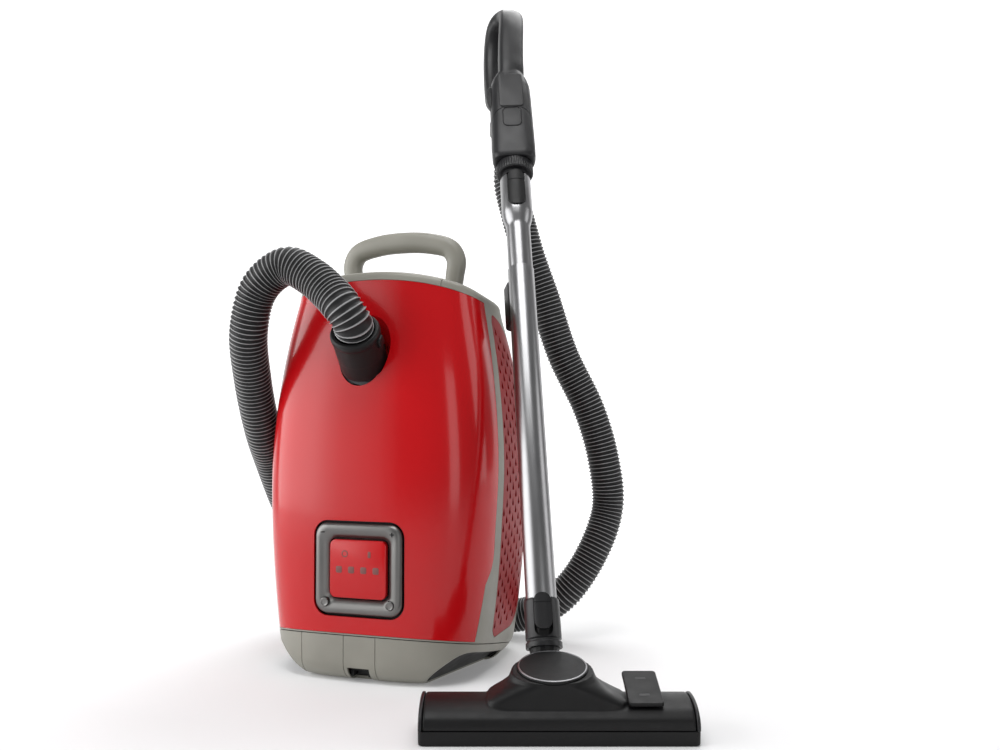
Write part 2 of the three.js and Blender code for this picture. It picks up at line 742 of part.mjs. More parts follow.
const headX = vec(1, 0, 0).applyAxisAngle(vec(0, 0, 1), headTurn);
const headXLocal = vec(headX.dot(across), headX.dot(toolBack), headX.dot(tool.axis));
const barrelHalf = 19;
/** A rod through the pivot along the head's length. */
const pivotRod = (half, radius, segments) => {
  const end = headXLocal.clone().multiplyScalar(half);
  return rod(end.clone().negate(), end, radius, segments);
};
add(wand, "neck_yoke", cut(
  join(
    pivotRod(barrelHalf, 14, 24),
    pivotRod(barrelHalf + 7, 4, 14),
    lathe([[0, 2], [15, 8], [17.2, 34], [17.2, 56], [0, 56]]),
  ),
  drum(13, 12, 60),
), "black");

// handle
const flap = { half: 11, low: 774, high: 804, front: -28.6, back: -25.4 };
const trigger = { front: -15.5, back: -2.5, low: 818, high: 864 };

function bodySection(halfWidth, front, back, t, corner) {
  const shape = roundedRectangle(2 * halfWidth, back - front, corner, 4);
  return shape.getPoints().slice(0, 20).map((p) => vec(p.x, p.y + (front + back) / 2, t));
}
const bodyLoft = loft([
  bodySection(29, -26, 12, tool.ringEnd + GAP, 14),
  bodySection(31, -28, 14, 742, 15),
  bodySection(31.5, -28, 24, 790, 17),
  bodySection(31, -27.5, 34, 840, 17),
  bodySection(29.5, -26, 38, 868, 17),
  bodySection(20, -24, 38, 892, 12),
]);

function gripLoop() {
  const outerPath = [[-24, 870], [-26, 950], [-22, 1014], [-4, 1046], [26, 1054], [54, 1040], [72, 1004],
    [78, 950], [78, 904], [72, 876], [40, 862]];
  const innerPath = [[8, 912], [30, 899], [48, 906], [55, 940], [53, 984], [40, 1016], [20, 1026],
    [4, 1010], [0, 960]];
  const smooth = (points, Kind) => {
    const curve = new THREE.CatmullRomCurve3(points.map(([a, b]) => vec(a, b, 0)), true, "centripetal");
    const around = curve.getPoints(2 * points.length).slice(0, -1);
    return new Kind(around.map((p) => new THREE.Vector2(p.x, p.y)));
  };
  const shape = smooth(outerPath, THREE.Shape);
  shape.holes.push(smooth(innerPath, THREE.Path));
  const half = 17;
  const bevel = 6;
  const plate = new THREE.ExtrudeGeometry(shape, {
    depth: 2 * (half - bevel),
    bevelThickness: bevel,
    bevelSize: bevel,
    bevelOffset: -bevel,
    bevelSegments: 1,
  }).translate(0, 0, -half + bevel);
  const turn = new THREE.Matrix4().makeBasis(vec(0, 1, 0), vec(0, 0, 1), vec(1, 0, 0));
  return turnedToRear(closed(plate).applyMatrix4(turn));
}

const handle = cut(
  join(bodyLoft, gripLoop(), drum(20.2, 645, 740), portAim(drum(31.5, 0, 20))),
  drum(15, 630, 816),
  portAim(drum(20, -6, 60)),
  portAim(drum(28.6, 13, 80)),
  box(-flap.half - GAP, flap.half + GAP, -40, flap.back + GAP, flap.low - GAP, flap.high + GAP),
  box(-40, -23.5, trigger.front - GAP, trigger.back + GAP, trigger.low - GAP, trigger.high + GAP),
  box(-13, 13, -40, -10, 630, 697),
);
add(wand, "handle_body", handle, "charcoal");
add(wand, "grip_ring", sleeve(tool.ringRadius, 20.7, tool.ringStart, tool.ringEnd, 32), "charcoal");
add(wand, "handle_latch", common(
  box(-12, 12, -24.5, -16.5, 637, 696), drum(24.6, 630, 700),
), "black");
add(wand, "air_flap", box(
  -flap.half, flap.half, flap.front, flap.back, flap.low, flap.high,
), "charcoal");
add(wand, "trigger", box(-35, -27.6, trigger.front, trigger.back, trigger.low, trigger.high), "charcoal");
add(wand, "hose_sleeve", portAim(sleeve(28, 22, hosePort.start, hosePort.end)), "black");

// ---------------------------------------------------------------- floor head
const headGroup = new THREE.Group();
const pivotOffset = vec(head.pivotX, head.pivotY, 0).applyAxisAngle(vec(0, 0, 1), headTurn);
headGroup.position.set(tool.pivot.x - pivotOffset.x, tool.pivot.y - pivotOffset.y, 0);
headGroup.rotation.z = headTurn;
group.add(headGroup);

/** The housing's side view above `floor`, made larger by `grow`. */
const crest = (grow, floor) => [
  [-head.half - grow, floor], [-head.half - grow, 19], [-36 - grow, 27 + grow], [-28, 34 + grow],
  [-14, 39 + grow], [4, head.crest + grow], [22, 39 + grow], [33 + grow, 32 + grow],
  [head.half + grow, 23], [head.half + grow, floor],
];
const seatAim = (geometry) => {
  const normal = vec(0, -Math.sin(badge.tilt), Math.cos(badge.tilt));
  return aim(geometry, vec(badge.x, badge.y, badge.z), normal);
};
const dome = new THREE.SphereGeometry(1, 24, 12).scale(76, 38, 27).translate(-2, 1, 39);
const innerDome = new THREE.SphereGeometry(1, 16, 8).scale(72, 34, 23.5).translate(-2, 1, 39);
const halfHead = head.length / 2;
const pedalPlace = { x: 91, half: 18.5, front: -29, rear: 33, low: 41, high: 58, thick: 4.5 };
const lug = (x0, x1) => join(
  rodX(x0, x1, head.pivotY, head.pivotZ, 9, 20), box(x0, x1, 28, head.pivotY, 30, head.pivotZ + 8.9),
);
const lugGap = barrelHalf + 1;
const headShell = cut(
  join(
    cut(
      cut(
        join(alongX(crest(0, head.shellLow), -halfHead + 4.4, halfHead - 4.4), dome),
        alongX(crest(-3, 5), -halfHead + 8, halfHead - 8),
        innerDome,
        box(-200, 200, -60, 60, -20, head.shellLow),
      ),
      box(head.pivotX - lugGap, head.pivotX + lugGap, 19, 90, 43, 90),
      rodX(head.pivotX - lugGap, head.pivotX + lugGap, head.pivotY, head.pivotZ, 18.5, 32),
    ),
    lug(head.pivotX - lugGap - 5, head.pivotX - lugGap),
    lug(head.pivotX + lugGap, head.pivotX + lugGap + 5),
  ),
  rodX(head.pivotX - 40, head.pivotX + 40, head.pivotY, head.pivotZ, 4.5, 16),
  seatAim(drum(badge.radius + 0.6, -0.4, 40)),
  box(pedalPlace.x - 11, pedalPlace.x + 11, -10, 14, 20, 80),
);
add(headGroup, "head_shell", headShell, "black");
add(headGroup, "badge", seatAim(drum(badge.radius, 0, badge.thick, 40)), "charcoal");
for (const [name, side] of [["left", -1], ["right", 1]]) {
  const x = side * (halfHead - 2);
  add(headGroup, `end_cap_${name}`, alongX(crest(0.4, head.shellLow), x - 2, x + 2), "charcoal");
}

const rollerPlaces = [-112, 112];
const rollerY = 22;
const rollerZ = 6.4;
const sole = cut(
  join(
    cut(
      box(-halfHead, halfHead, -head.half, head.half, 0.3, 15.2),
      box(-halfHead + 4, halfHead - 4, -head.half + 4, head.half - 4, 4, 20),
    ),
    ...rollerPlaces.map((x) => box(x - 13, x + 13, rollerY - 9, rollerY + 9, 3, 12.5)),
  ),
  box(-95, 95, -9, 9, -5, 10),
  box(-121, 121, -26.6, -19.4, -5, 10),
  ...rollerPlaces.map((x) => box(x - 8, x + 8, rollerY - 7.4, rollerY + 7.4, -5, 14)),
  ...rollerPlaces.map((x) => rodX(x - 11.5, x + 11.5, rollerY, rollerZ, 2.4, 12)),
);
add(headGroup, "sole_plate", sole, "black");
add(headGroup, "bristle_strip", box(-120, 120, -26, -20, 4.9, 14), "bristle");
rollerPlaces.forEach((x) => {
  const roller = join(drum(6, -7, 7, 20), drum(2, -11, 11, 12));
  const name = x < 0 ? "roller_left" : "roller_right";
  add(headGroup, name, aim(roller, vec(x, rollerY, rollerZ), vec(1, 0, 0)), "black");
});
const pedalPlate = alongX([
  [pedalPlace.front, pedalPlace.low - pedalPlace.thick],
  [pedalPlace.rear, pedalPlace.high - pedalPlace.thick],
  [pedalPlace.rear, pedalPlace.high],
  [pedalPlace.front, pedalPlace.low],
], pedalPlace.x - pedalPlace.half, pedalPlace.x + pedalPlace.half);
const pedalWeb = alongX([[-5, 33], [9, 33], [9, 50], [-5, 46]], pedalPlace.x - 9, pedalPlace.x + 9);
add(headGroup, "pedal", join(pedalPlate, pedalWeb), "black");

// ---------------------------------------------------------------- hose
const cuffEnd = inlet.base.clone().addScaledVector(inlet.axis, inlet.cuffLength + GAP);
const floorHeight = 26.4;
const hoseSeam = { y: 190, z: floorHeight, half: GAP / 2 };
const frontRoute = [
  cuffEnd,
  cuffEnd.clone().addScaledVector(inlet.axis, 12),
  vec(-2, -155, 469), vec(-22, -151, 489), vec(-52, -146, 512), vec(-88, -143, 527), vec(-128, -141, 503),
  vec(-153, -128, 449), vec(-172, -88, 385), vec(-185, -42, 317), vec(-195, 0, 272),
  vec(-196, 60, 190), vec(-182, 122, 110), vec(-140, 172, 56), vec(-80, 189, 31),
  vec(-36, hoseSeam.y, hoseSeam.z), vec(-hoseSeam.half, hoseSeam.y, hoseSeam.z),
];
const portEnd = toWorld(hosePort.from.clone().addScaledVector(hosePort.direction, hosePort.end + GAP));
const portOut = toWorld(hosePort.from.clone().addScaledVector(hosePort.direction, hosePort.end + 8));
const rearRoute = [
  vec(hoseSeam.half, hoseSeam.y, hoseSeam.z), vec(36, hoseSeam.y, hoseSeam.z),
  vec(84, 188, 28), vec(140, 184, 38), vec(192, 180, 70), vec(232, 196, 130), vec(252, 214, 197),
  vec(247, 208, 270), vec(228, 198, 343), vec(191, 182, 427), vec(166, 167, 512),
  vec(146, 156, 580), vec(128, 158, 645), vec(119, 158, 690), portOut, portEnd,
];
add(group, "hose_front", tubeThrough(frontRoute, hoseRadius, 8, 32), "hose");
add(group, "hose_rear", tubeThrough(rearRoute, hoseRadius, 8, 36), "hose");

export default group;
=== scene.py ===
"""Canister vacuum cleaner: the looks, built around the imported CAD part.

Lengths are written in millimetres, in the part's own frame, and scaled when a mesh is made.
"""

import math

import bmesh
import bpy
import numpy as np
from mathutils import Matrix, Vector
from mathutils.bvhtree import BVHTree


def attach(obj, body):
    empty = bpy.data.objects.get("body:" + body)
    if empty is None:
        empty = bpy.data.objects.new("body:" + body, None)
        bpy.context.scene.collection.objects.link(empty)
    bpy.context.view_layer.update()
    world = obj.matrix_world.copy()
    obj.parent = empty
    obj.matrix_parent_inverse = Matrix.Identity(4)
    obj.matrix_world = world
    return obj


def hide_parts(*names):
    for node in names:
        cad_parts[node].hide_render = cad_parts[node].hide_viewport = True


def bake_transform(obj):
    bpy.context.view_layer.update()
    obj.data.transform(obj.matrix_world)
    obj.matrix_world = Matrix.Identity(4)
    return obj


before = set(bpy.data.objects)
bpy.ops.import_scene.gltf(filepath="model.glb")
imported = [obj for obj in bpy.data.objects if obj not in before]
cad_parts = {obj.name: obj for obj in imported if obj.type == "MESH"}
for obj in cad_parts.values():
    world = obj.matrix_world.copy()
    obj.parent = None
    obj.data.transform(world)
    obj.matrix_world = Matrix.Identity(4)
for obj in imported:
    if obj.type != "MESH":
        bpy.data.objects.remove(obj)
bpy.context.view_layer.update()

MM = 0.001
TAU = 2 * math.pi
X_AXIS = Vector((1, 0, 0))
Z_AXIS = Vector((0, 0, 1))

# ------------------------------------------------------------------ driving dimensions, as in the CAD
HALF_WIDTH = 161
FRONT = 115  # depth in front of the widest line
BACK = 140  # depth behind it
WIDEST = 254  # height of the widest line
TOP = 525
CROWN_BEND = 0.0011  # how fast the top falls away to the sides
CROWN_SLOPE = 0.09  # how fast the top falls away to the back
CROWN_START = -80
RIM = 12  # the band between the lid's top edge and the crown
SEAM_HEIGHT = 60  # the seam between base and lid, at the very front
SEAM_SLOPE = 0.214
BOTTOM_ROUND = 26
TOP_ROUND = 9
STRIP_EDGE = [(-57, 122), (-43, 146), (-40.5, 194), (-34, 262), (-23, 352), (-9, 430), (0, 478), (8, 520)]
STRIP_FOOT = -66
STRIP_WIDTH = 21
GRILLE_BACK = 100
GRILLE_LOW = 44
GRILLE_HIGH = 476
ARCH_FOOT = 86
ARCH_SHOULDER = 124
ARCH_TOP = 38
ARCH_SLOPE = 0.214
ARCH_BACK = 45
PARK_HALF = 15
SHELL = 3.0  # wall of the shells that show
SEAM = 0.55  # half the gap between two shells

BEZEL_Z = 143
BEZEL_WIDTH = 120
BEZEL_TALL = 115
BEZEL_FACE = -118.5
WINDOW = 78  # width of the display window
BUTTON_X = BEZEL_WIDTH / 2 - 15
BUTTON_Z = BEZEL_Z - BEZEL_TALL / 2 + 15
BUTTON_RADIUS = 5.6

INLET = Vector((-1, -104, 413.5))
INLET_AXIS = Vector((0.1311, -0.7433, 0.6561)).normalized()
CUFF_RADIUS = 31
CUFF_LENGTH = 46
CUP = [(33, -14), (34.5, 0), (46, 30), (60, 60)]  # radius and height of the funnel round the cuff
HOSE_RADIUS = 25

HEAD_TURN = math.radians(18)
PIVOT = Vector((261.1, -173.3, 46.7))
WAND_AXIS = Vector((-0.1715, 0.3915, 0.9041)).normalized()
HEAD_AXIS = Vector((math.cos(HEAD_TURN), math.sin(HEAD_TURN), 0))
WAND_ACROSS = (HEAD_AXIS - WAND_AXIS * HEAD_AXIS.dot(WAND_AXIS)).normalized()
WAND_BACK = WAND_AXIS.cross(WAND_ACROSS)
REAR_TURN = math.radians(15)  # of the grip's loop round the wand
HEAD_LENGTH = 290
PIVOT_IN_HEAD = Vector((-9.5, 46.5, 0))


def frame_matrix(x, y, z, origin):
    """The matrix of a frame with those axes at that origin."""
    matrix = Matrix((x, y, z)).transposed().to_4x4()
    matrix.translation = origin
    return matrix


def aim(origin, direction):
    """The shortest turn that takes +Z to a direction, and a move to origin."""
    matrix = Z_AXIS.rotation_difference(direction).to_matrix().to_4x4()
    matrix.translation = origin
    return matrix


WAND = frame_matrix(WAND_ACROSS, WAND_BACK, WAND_AXIS, PIVOT)
HEAD_PLACE = PIVOT - Matrix.Rotation(HEAD_TURN, 3, "Z") @ PIVOT_IN_HEAD
HEAD = Matrix.Translation((HEAD_PLACE.x, HEAD_PLACE.y, 0)) @ Matrix.Rotation(HEAD_TURN, 4, "Z")
CUFF = aim(INLET, INLET_AXIS)


def behind(back, along):
    """A point in the wand's frame, in the plane of the grip's loop."""
    return Vector((-math.sin(REAR_TURN) * back, math.cos(REAR_TURN) * back, along))


PORT = aim(behind(10, 812), Vector((-0.02, 0.42, -0.907)).normalized())
PORT_END = 48

# ------------------------------------------------------------------ camera
CAMERA_PLACE = Vector((542.5, -1205.3, 346)) * MM
CAMERA_LENS = 34.2
CAMERA_PITCH = 2


def make_camera():
    data = bpy.data.cameras.new("camera")
    data.lens = CAMERA_LENS
    data.sensor_width = 36
    data.clip_start = 0.01
    camera = bpy.data.objects.new("camera", data)
    camera.location = CAMERA_PLACE
    camera.rotation_euler = (math.radians(90 + CAMERA_PITCH), 0, HEAD_TURN)
    bpy.context.collection.objects.link(camera)
    bpy.context.scene.camera = camera


make_camera()


# ------------------------------------------------------------------ mesh helpers
def mesh_object(name, points, faces, matrix=None, smooth=True):
    """A mesh from points in millimetres."""
    mesh = bpy.data.meshes.new(name)
    mesh.from_pydata([tuple(p) for p in points], [], [tuple(f) for f in faces])
    if matrix is not None:
        mesh.transform(matrix)
    mesh.transform(Matrix.Scale(MM, 4))
    work = bmesh.new()
    work.from_mesh(mesh)
    bmesh.ops.remove_doubles(work, verts=work.verts, dist=1e-7)
    bmesh.ops.recalc_face_normals(work, faces=work.faces)
    work.to_mesh(mesh)
    work.free()
    mesh.polygons.foreach_set("use_smooth", [smooth] * len(mesh.polygons))
    made = bpy.data.objects.new(name, mesh)
    bpy.context.collection.objects.link(made)
    return made


def stack(name, rings, matrix=None, closed_loop=False, caps=True, smooth=True):
    """A skin through rings that have equally many points."""
    count = len(rings[0])
    points = [p for ring in rings for p in ring]
    faces = []
    last = len(rings) if closed_loop else len(rings) - 1
    for r in range(last):
        low = r * count
        high = ((r + 1) % len(rings)) * count
        for i in range(count):
            j = (i + 1) % count
            faces.append((low + i, low + j, high + j, high + i))
    if caps and not closed_loop:
        faces.append(tuple(reversed(range(count))))
        faces.append(tuple(range(len(points) - count, len(points))))
    return mesh_object(name, points, faces, matrix, smooth)


def fillet(points, radius, steps=4, closed=True):
    """The same outline with its corners rounded. radius is one number or one for each corner."""
    count = len(points)
    radii = radius if isinstance(radius, (list, tuple)) else [radius] * count
    result = []
    for i, corner in enumerate(points):
        ends = not closed and i in (0, count - 1)
        if ends or radii[i] <= 0:
            result.append(tuple(corner))
            continue
        here = Vector(corner)
        before = Vector(points[i - 1]) - here
        after = Vector(points[(i + 1) % count]) - here
        reach = min(radii[i], before.length * 0.49, after.length * 0.49)
        start = here + before.normalized() * reach
        end = here + after.normalized() * reach
        for k in range(steps + 1):
            t = k / steps
            result.append(tuple(start * (1 - t) ** 2 + here * 2 * t * (1 - t) + end * t * t))
    return result


def circle_section(radius, sides):
    return [(radius * math.cos(TAU * i / sides), radius * math.sin(TAU * i / sides)) for i in range(sides)]


def squarish(angle, power):
    """A point on a unit curve between a circle (power 1) and a square (power 0)."""
    c = math.cos(angle)
    s = math.sin(angle)
    return math.copysign(abs(c) ** power, c), math.copysign(abs(s) ** power, s)


def oval(half_width, front, back, z, power, count=72, middle=0):
    """A squarish ring at one height, from front to back."""
    points = []
    for i in range(count):
        across, along = squarish(TAU * i / count, 2 / power)
        points.append((middle + half_width * across, (front + back) / 2 + (back - front) / 2 * along, z))
    return points


def table_row(table, place):
    """The values of a table at a place between its rows, whose first column is the place."""
    columns = np.array(table).T
    return [float(np.interp(place, columns[0], column)) for column in columns[1:]]


def lathe(name, outline, matrix=None, segments=72, radius=0.6, steps=3):
    """A body of revolution about +Z. The outline closes on itself or ends on the axis."""
    on_axis = outline[0][0] == 0
    profile = fillet(outline, radius, steps, closed=not on_axis)
    rings = [[(x, y, z) for x, y in circle_section(r, segments)] for r, z in profile]
    return stack(name, rings, matrix, closed_loop=not on_axis, caps=False)


def cylinder(name, radius, low, high, matrix=None, segments=64):
    return lathe(name, [(0, low), (radius, low), (radius, high), (0, high)], matrix, segments, radius=0)


def rounded_rectangle(width, tall, corner, steps=6):
    """Points round a rectangle with round corners, anticlockwise."""
    points = []
    w = width / 2 - corner
    t = tall / 2 - corner
    for quarter, (cx, cy) in enumerate([(w, t), (-w, t), (-w, -t), (w, -t)]):
        for i in range(steps + 1):
            angle = (quarter + i / steps) * math.pi / 2
            points.append((cx + corner * math.cos(angle), cy + corner * math.sin(angle)))
    return points


def soft_plate(name, width, tall, corner, low, high, edge=0.8, matrix=None, steps=6):
    """A plate in XY between two heights, with rounded edges."""
    corner_arc = []
    for k in range(4):
        angle = k / 3 * math.pi / 2
        corner_arc.append((edge * (1 - math.sin(angle)), edge * (1 - math.cos(angle))))
    rings = [(pull, low + rise) for pull, rise in corner_arc]
    rings += [(pull, high - rise) for pull, rise in reversed(corner_arc)]
    layers = []
    for pull, z in rings:
        outline = rounded_rectangle(width - 2 * pull, tall - 2 * pull, max(corner - pull, 0.2), steps)
        layers.append([(x, y, z) for x, y in outline])
    made = stack(name, layers, matrix)
    sharpen(made)
    return made


def box_object(name, low, high):
    """A plain box, to cut or join with."""
    points = [(x, y, z) for x in (low[0], high[0]) for y in (low[1], high[1]) for z in (low[2], high[2])]
    faces = [(0, 1, 3, 2), (4, 6, 7, 5), (0, 4, 5, 1), (2, 3, 7, 6), (0, 2, 6, 4), (1, 5, 7, 3)]
    return mesh_object(name, points, faces, smooth=False)


def prism_x(name, outline, *ends):
    """An outline of (y, z) points carried along X between two ends."""
    return stack(name, [[(x, y, z) for y, z in outline] for x in sorted(ends)], smooth=False)


def front_matrix(x, z):
    """Takes a plate in XY to one that faces the front: its +Z side looks to -Y."""
    return Matrix.Translation((x, 0, z)) @ Matrix.Rotation(math.pi / 2, 4, "X")


def transformed(made, matrix):
    """Moves a mesh's own points by a matrix in millimetres."""
    made.data.transform(Matrix.Scale(1 / MM, 4))
    made.data.transform(matrix)
    made.data.transform(Matrix.Scale(MM, 4))
    return made


def remove(made):
    mesh = made.data
    bpy.data.objects.remove(made)
    bpy.data.meshes.remove(mesh)


def apply_modifiers(made):
    """The mesh with its modifiers carried out."""
    bpy.context.view_layer.update()
    evaluated = made.evaluated_get(bpy.context.evaluated_depsgraph_get())
    mesh = bpy.data.meshes.new_from_object(evaluated)
    old = made.data
    made.modifiers.clear()
    made.data = mesh
    bpy.data.meshes.remove(old)
    return made


def boolean(made, operation, *others):
    """made, joined with, cut by or kept inside the others, which are used up."""
    for other in others:
        modifier = made.modifiers.new("boolean", "BOOLEAN")
        modifier.operation = operation
        modifier.solver = "MANIFOLD"
        modifier.object = other
        apply_modifiers(made)
        remove(other)
    return made


def cut(made, *others):
    return boolean(made, "DIFFERENCE", *others)


def join(made, *others):
    return boolean(made, "UNION", *others)


def keep(made, *others):
    return boolean(made, "INTERSECT", *others)


def copy_of(made, name):
    twin = made.copy()
    twin.data = made.data.copy()
    twin.name = name
    bpy.context.collection.objects.link(twin)
    return twin


def sharpen(made, angle=35):
    """Marks edges sharper than an angle, so that shading breaks there."""
    limit = math.radians(angle)
    work = bmesh.new()
    work.from_mesh(made.data)
    for edge in work.edges:
        faces = edge.link_faces
        edge.smooth = len(faces) == 2 and edge.calc_face_angle(0) < limit
    for face in work.faces:
        face.smooth = True
    work.to_mesh(made.data)
    work.free()
    return made


def blend_solids(made, voxel, rounds):
    """One skin over joined bodies, with the creases between them rounded."""
    modifier = made.modifiers.new("remesh", "REMESH")
    modifier.mode = "VOXEL"
    modifier.voxel_size = voxel * MM
    modifier.use_smooth_shade = True
    smooth = made.modifiers.new("smooth", "SMOOTH")
    smooth.iterations = rounds
    smooth.factor = 0.5
    return apply_modifiers(made)


def merge(first, *others):
    """Several meshes as one object, not joined at their surfaces."""
    work = bmesh.new()
    work.from_mesh(first.data)
    for other in others:
        work.from_mesh(other.data)
        remove(other)
    work.to_mesh(first.data)
    work.free()
    return first


# ------------------------------------------------------------------ materials
def new_material(name, base, roughness, **sockets):
    """A principled material. Returns it with its tree and shader."""
    material = bpy.data.materials.new(name)
    material.use_nodes = True
    tree = material.node_tree
    shader = tree.nodes["Principled BSDF"]
    shader.inputs["Base Color"].default_value = (*base, 1)
    shader.inputs["Roughness"].default_value = roughness
    for key, value in sockets.items():
        shader.inputs[key.replace("_", " ").title().replace("Ior", "IOR")].default_value = value
    return material, tree, shader


def add_noise(tree, scale, detail=2, stretch=(1, 1, 1)):
    """Noise in the object's own space, stretched if asked. Returns its output."""
    place = tree.nodes.new("ShaderNodeTexCoord")
    mapping = tree.nodes.new("ShaderNodeMapping")
    mapping.inputs["Scale"].default_value = stretch
    noise = tree.nodes.new("ShaderNodeTexNoise")
    noise.inputs["Scale"].default_value = scale
    noise.inputs["Detail"].default_value = detail
    tree.links.new(place.outputs["Object"], mapping.inputs["Vector"])
    tree.links.new(mapping.outputs["Vector"], noise.inputs["Vector"])
    return noise.outputs["Fac"]


def add_bump(tree, shader, height, strength, distance):
    bump = tree.nodes.new("ShaderNodeBump")
    bump.inputs["Strength"].default_value = strength
    bump.inputs["Distance"].default_value = distance
    tree.links.new(height, bump.inputs["Height"])
    tree.links.new(bump.outputs["Normal"], shader.inputs["Normal"])


def add_ramp(tree, fac, low, high, target, start=0.3, end=0.7):
    """Maps a grey value to colours between low and high."""
    ramp = tree.nodes.new("ShaderNodeValToRGB")
    ramp.color_ramp.elements[0].position = start
    ramp.color_ramp.elements[1].position = end
    ramp.color_ramp.elements[0].color = (*low, 1)
    ramp.color_ramp.elements[1].color = (*high, 1)
    tree.links.new(fac, ramp.inputs["Fac"])
    tree.links.new(ramp.outputs["Color"], target)


def grey_level(value):
    return (value, value, value)


def scaled(colour, factor):
    return tuple(c * factor for c in colour)


def moulded(name, base, roughness, grain=900, strength=0.12, **sockets):
    """Moulded plastic: fine spark-erosion grain and a faint change of colour and gloss."""
    material, tree, shader = new_material(name, base, roughness, **sockets)
    colour = shader.inputs["Base Color"]
    add_bump(tree, shader, add_noise(tree, grain, 3), strength, 0.0002)
    add_ramp(tree, add_noise(tree, 14, 3), scaled(base, 0.92), scaled(base, 1.08), colour)
    glossy = grey_level(roughness * 0.88)
    dull = grey_level(roughness * 1.12)
    add_ramp(tree, add_noise(tree, 60, 4), glossy, dull, shader.inputs["Roughness"])
    return material


def lacquered(name, base, roughness):
    """High-gloss plastic with a clear skin and the slightest ripple."""
    material, tree, shader = new_material(
        name, base, roughness, specular_ior_level=0.36, coat_weight=0.1, coat_roughness=0.05)
    add_bump(tree, shader, add_noise(tree, 160, 1), 0.02, 0.0002)
    add_ramp(tree, add_noise(tree, 6, 2), scaled(base, 0.96), scaled(base, 1.04), shader.inputs["Base Color"])
    return material


def drawn_metal(name, base, roughness, stretch):
    """Metal with fine lines along its length."""
    material, tree, shader = new_material(name, base, roughness, metallic=1)
    lines = add_noise(tree, 1, 4, stretch)
    dull = grey_level(roughness * 1.08)
    add_ramp(tree, lines, grey_level(roughness * 0.92), dull, shader.inputs["Roughness"])
    add_ramp(tree, add_noise(tree, 25, 3), scaled(base, 0.96), base, shader.inputs["Base Color"])
    return material


def hose_plastic(name):
    """Dark ribbed plastic whose ridges are polished, with a painted highlight on the ridges and painted shade
    in the grooves.
    """
    material, tree, shader = new_material(name, (0.02, 0.02, 0.021), 0.4)
    ridge = tree.nodes.new("ShaderNodeAttribute")
    ridge.attribute_name = "ridge"
    height = ridge.outputs["Fac"]
    # painted highlight and shade: the ridges much lighter, the grooves nearly black, following the ridge
    # height
    add_ramp(tree, height, (0.004, 0.004, 0.0045), (0.42, 0.42, 0.425), shader.inputs["Base Color"], 0.5, 1)
    add_ramp(tree, height, grey_level(0.55), grey_level(0.27), shader.inputs["Roughness"], 0.2, 1)
    shader.inputs["Specular IOR Level"].default_value = 0.35
    add_bump(tree, shader, add_noise(tree, 1200, 2), 0.08, 0.0002)
    return material


def fleece(name, base):
    material, tree, shader = new_material(name, base, 0.95, sheen_weight=0.3)
    add_bump(tree, shader, add_noise(tree, 420, 6), 0.6, 0.001)
    add_ramp(tree, add_noise(tree, 90, 5), scaled(base, 0.8), base, shader.inputs["Base Color"])
    return material


RED = lacquered("red_gloss", (0.46, 0.0035, 0.006), 0.17)
RED_GRILLE = moulded("red_grille", (0.26, 0.003, 0.005), 0.4, 700, 0.15, specular_ior_level=0.2)
GREY = moulded("warm_grey", (0.235, 0.228, 0.195), 0.42)
BLACK = moulded("black_plastic", (0.006, 0.006, 0.0063), 0.44, specular_ior_level=0.24)
RUBBER = moulded("rubber", (0.010, 0.010, 0.010), 0.7, 500, 0.3, specular_ior_level=0.25)
CHARCOAL = moulded("charcoal", (0.012, 0.012, 0.013), 0.40, specular_ior_level=0.34)
CHROME = drawn_metal("chrome", (0.30, 0.30, 0.306), 0.31, (60, 60, 2))
BEZEL = moulded("bezel_metal", (0.17, 0.168, 0.163), 0.34, 1400, 0.05, metallic=0.9)
HOSE = hose_plastic("hose_plastic")
INNER = moulded("inner_plastic", (0.07, 0.072, 0.078), 0.6, 400, 0.2)
ALLOY = drawn_metal("cast_alloy", (0.5, 0.5, 0.52), 0.45, (200, 200, 200))
PAPER = fleece("filter_fleece", (0.7, 0.66, 0.56))
BOARD = moulded("board", (0.012, 0.1, 0.04), 0.45)
BRISTLE = fleece("bristle", (0.02, 0.02, 0.02))
MARK = moulded("printed_mark", (0.16, 0.05, 0.045), 0.4)
BADGE_RING = drawn_metal("badge_ring", (0.30, 0.30, 0.31), 0.35, (300, 300, 300))


def finish_piece(made, body, material, slot, *nodes):
    """Dresses a piece, sets it riding, and hides the CAD nodes that it stands for."""
    made.data.materials.clear()
    made.data.materials.append(material)
    if body is not None:
        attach(made, body)
    if nodes:
        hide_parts(*nodes)
    return made


# ------------------------------------------------------------------ hose
RIB_PITCH = 5.8
RIB_PHASES = (0, 0.22, 0.38, 0.5, 0.62, 0.78)  # where one rib's rings stand, as parts of the pitch
RIB_DEPTH = 2.3
RIB_WIDTH = 0.15  # of the ridge, as a part of the pitch
HOSE_SIDES = 28
SEAM_POINT = Vector((0, 190, 26.4))

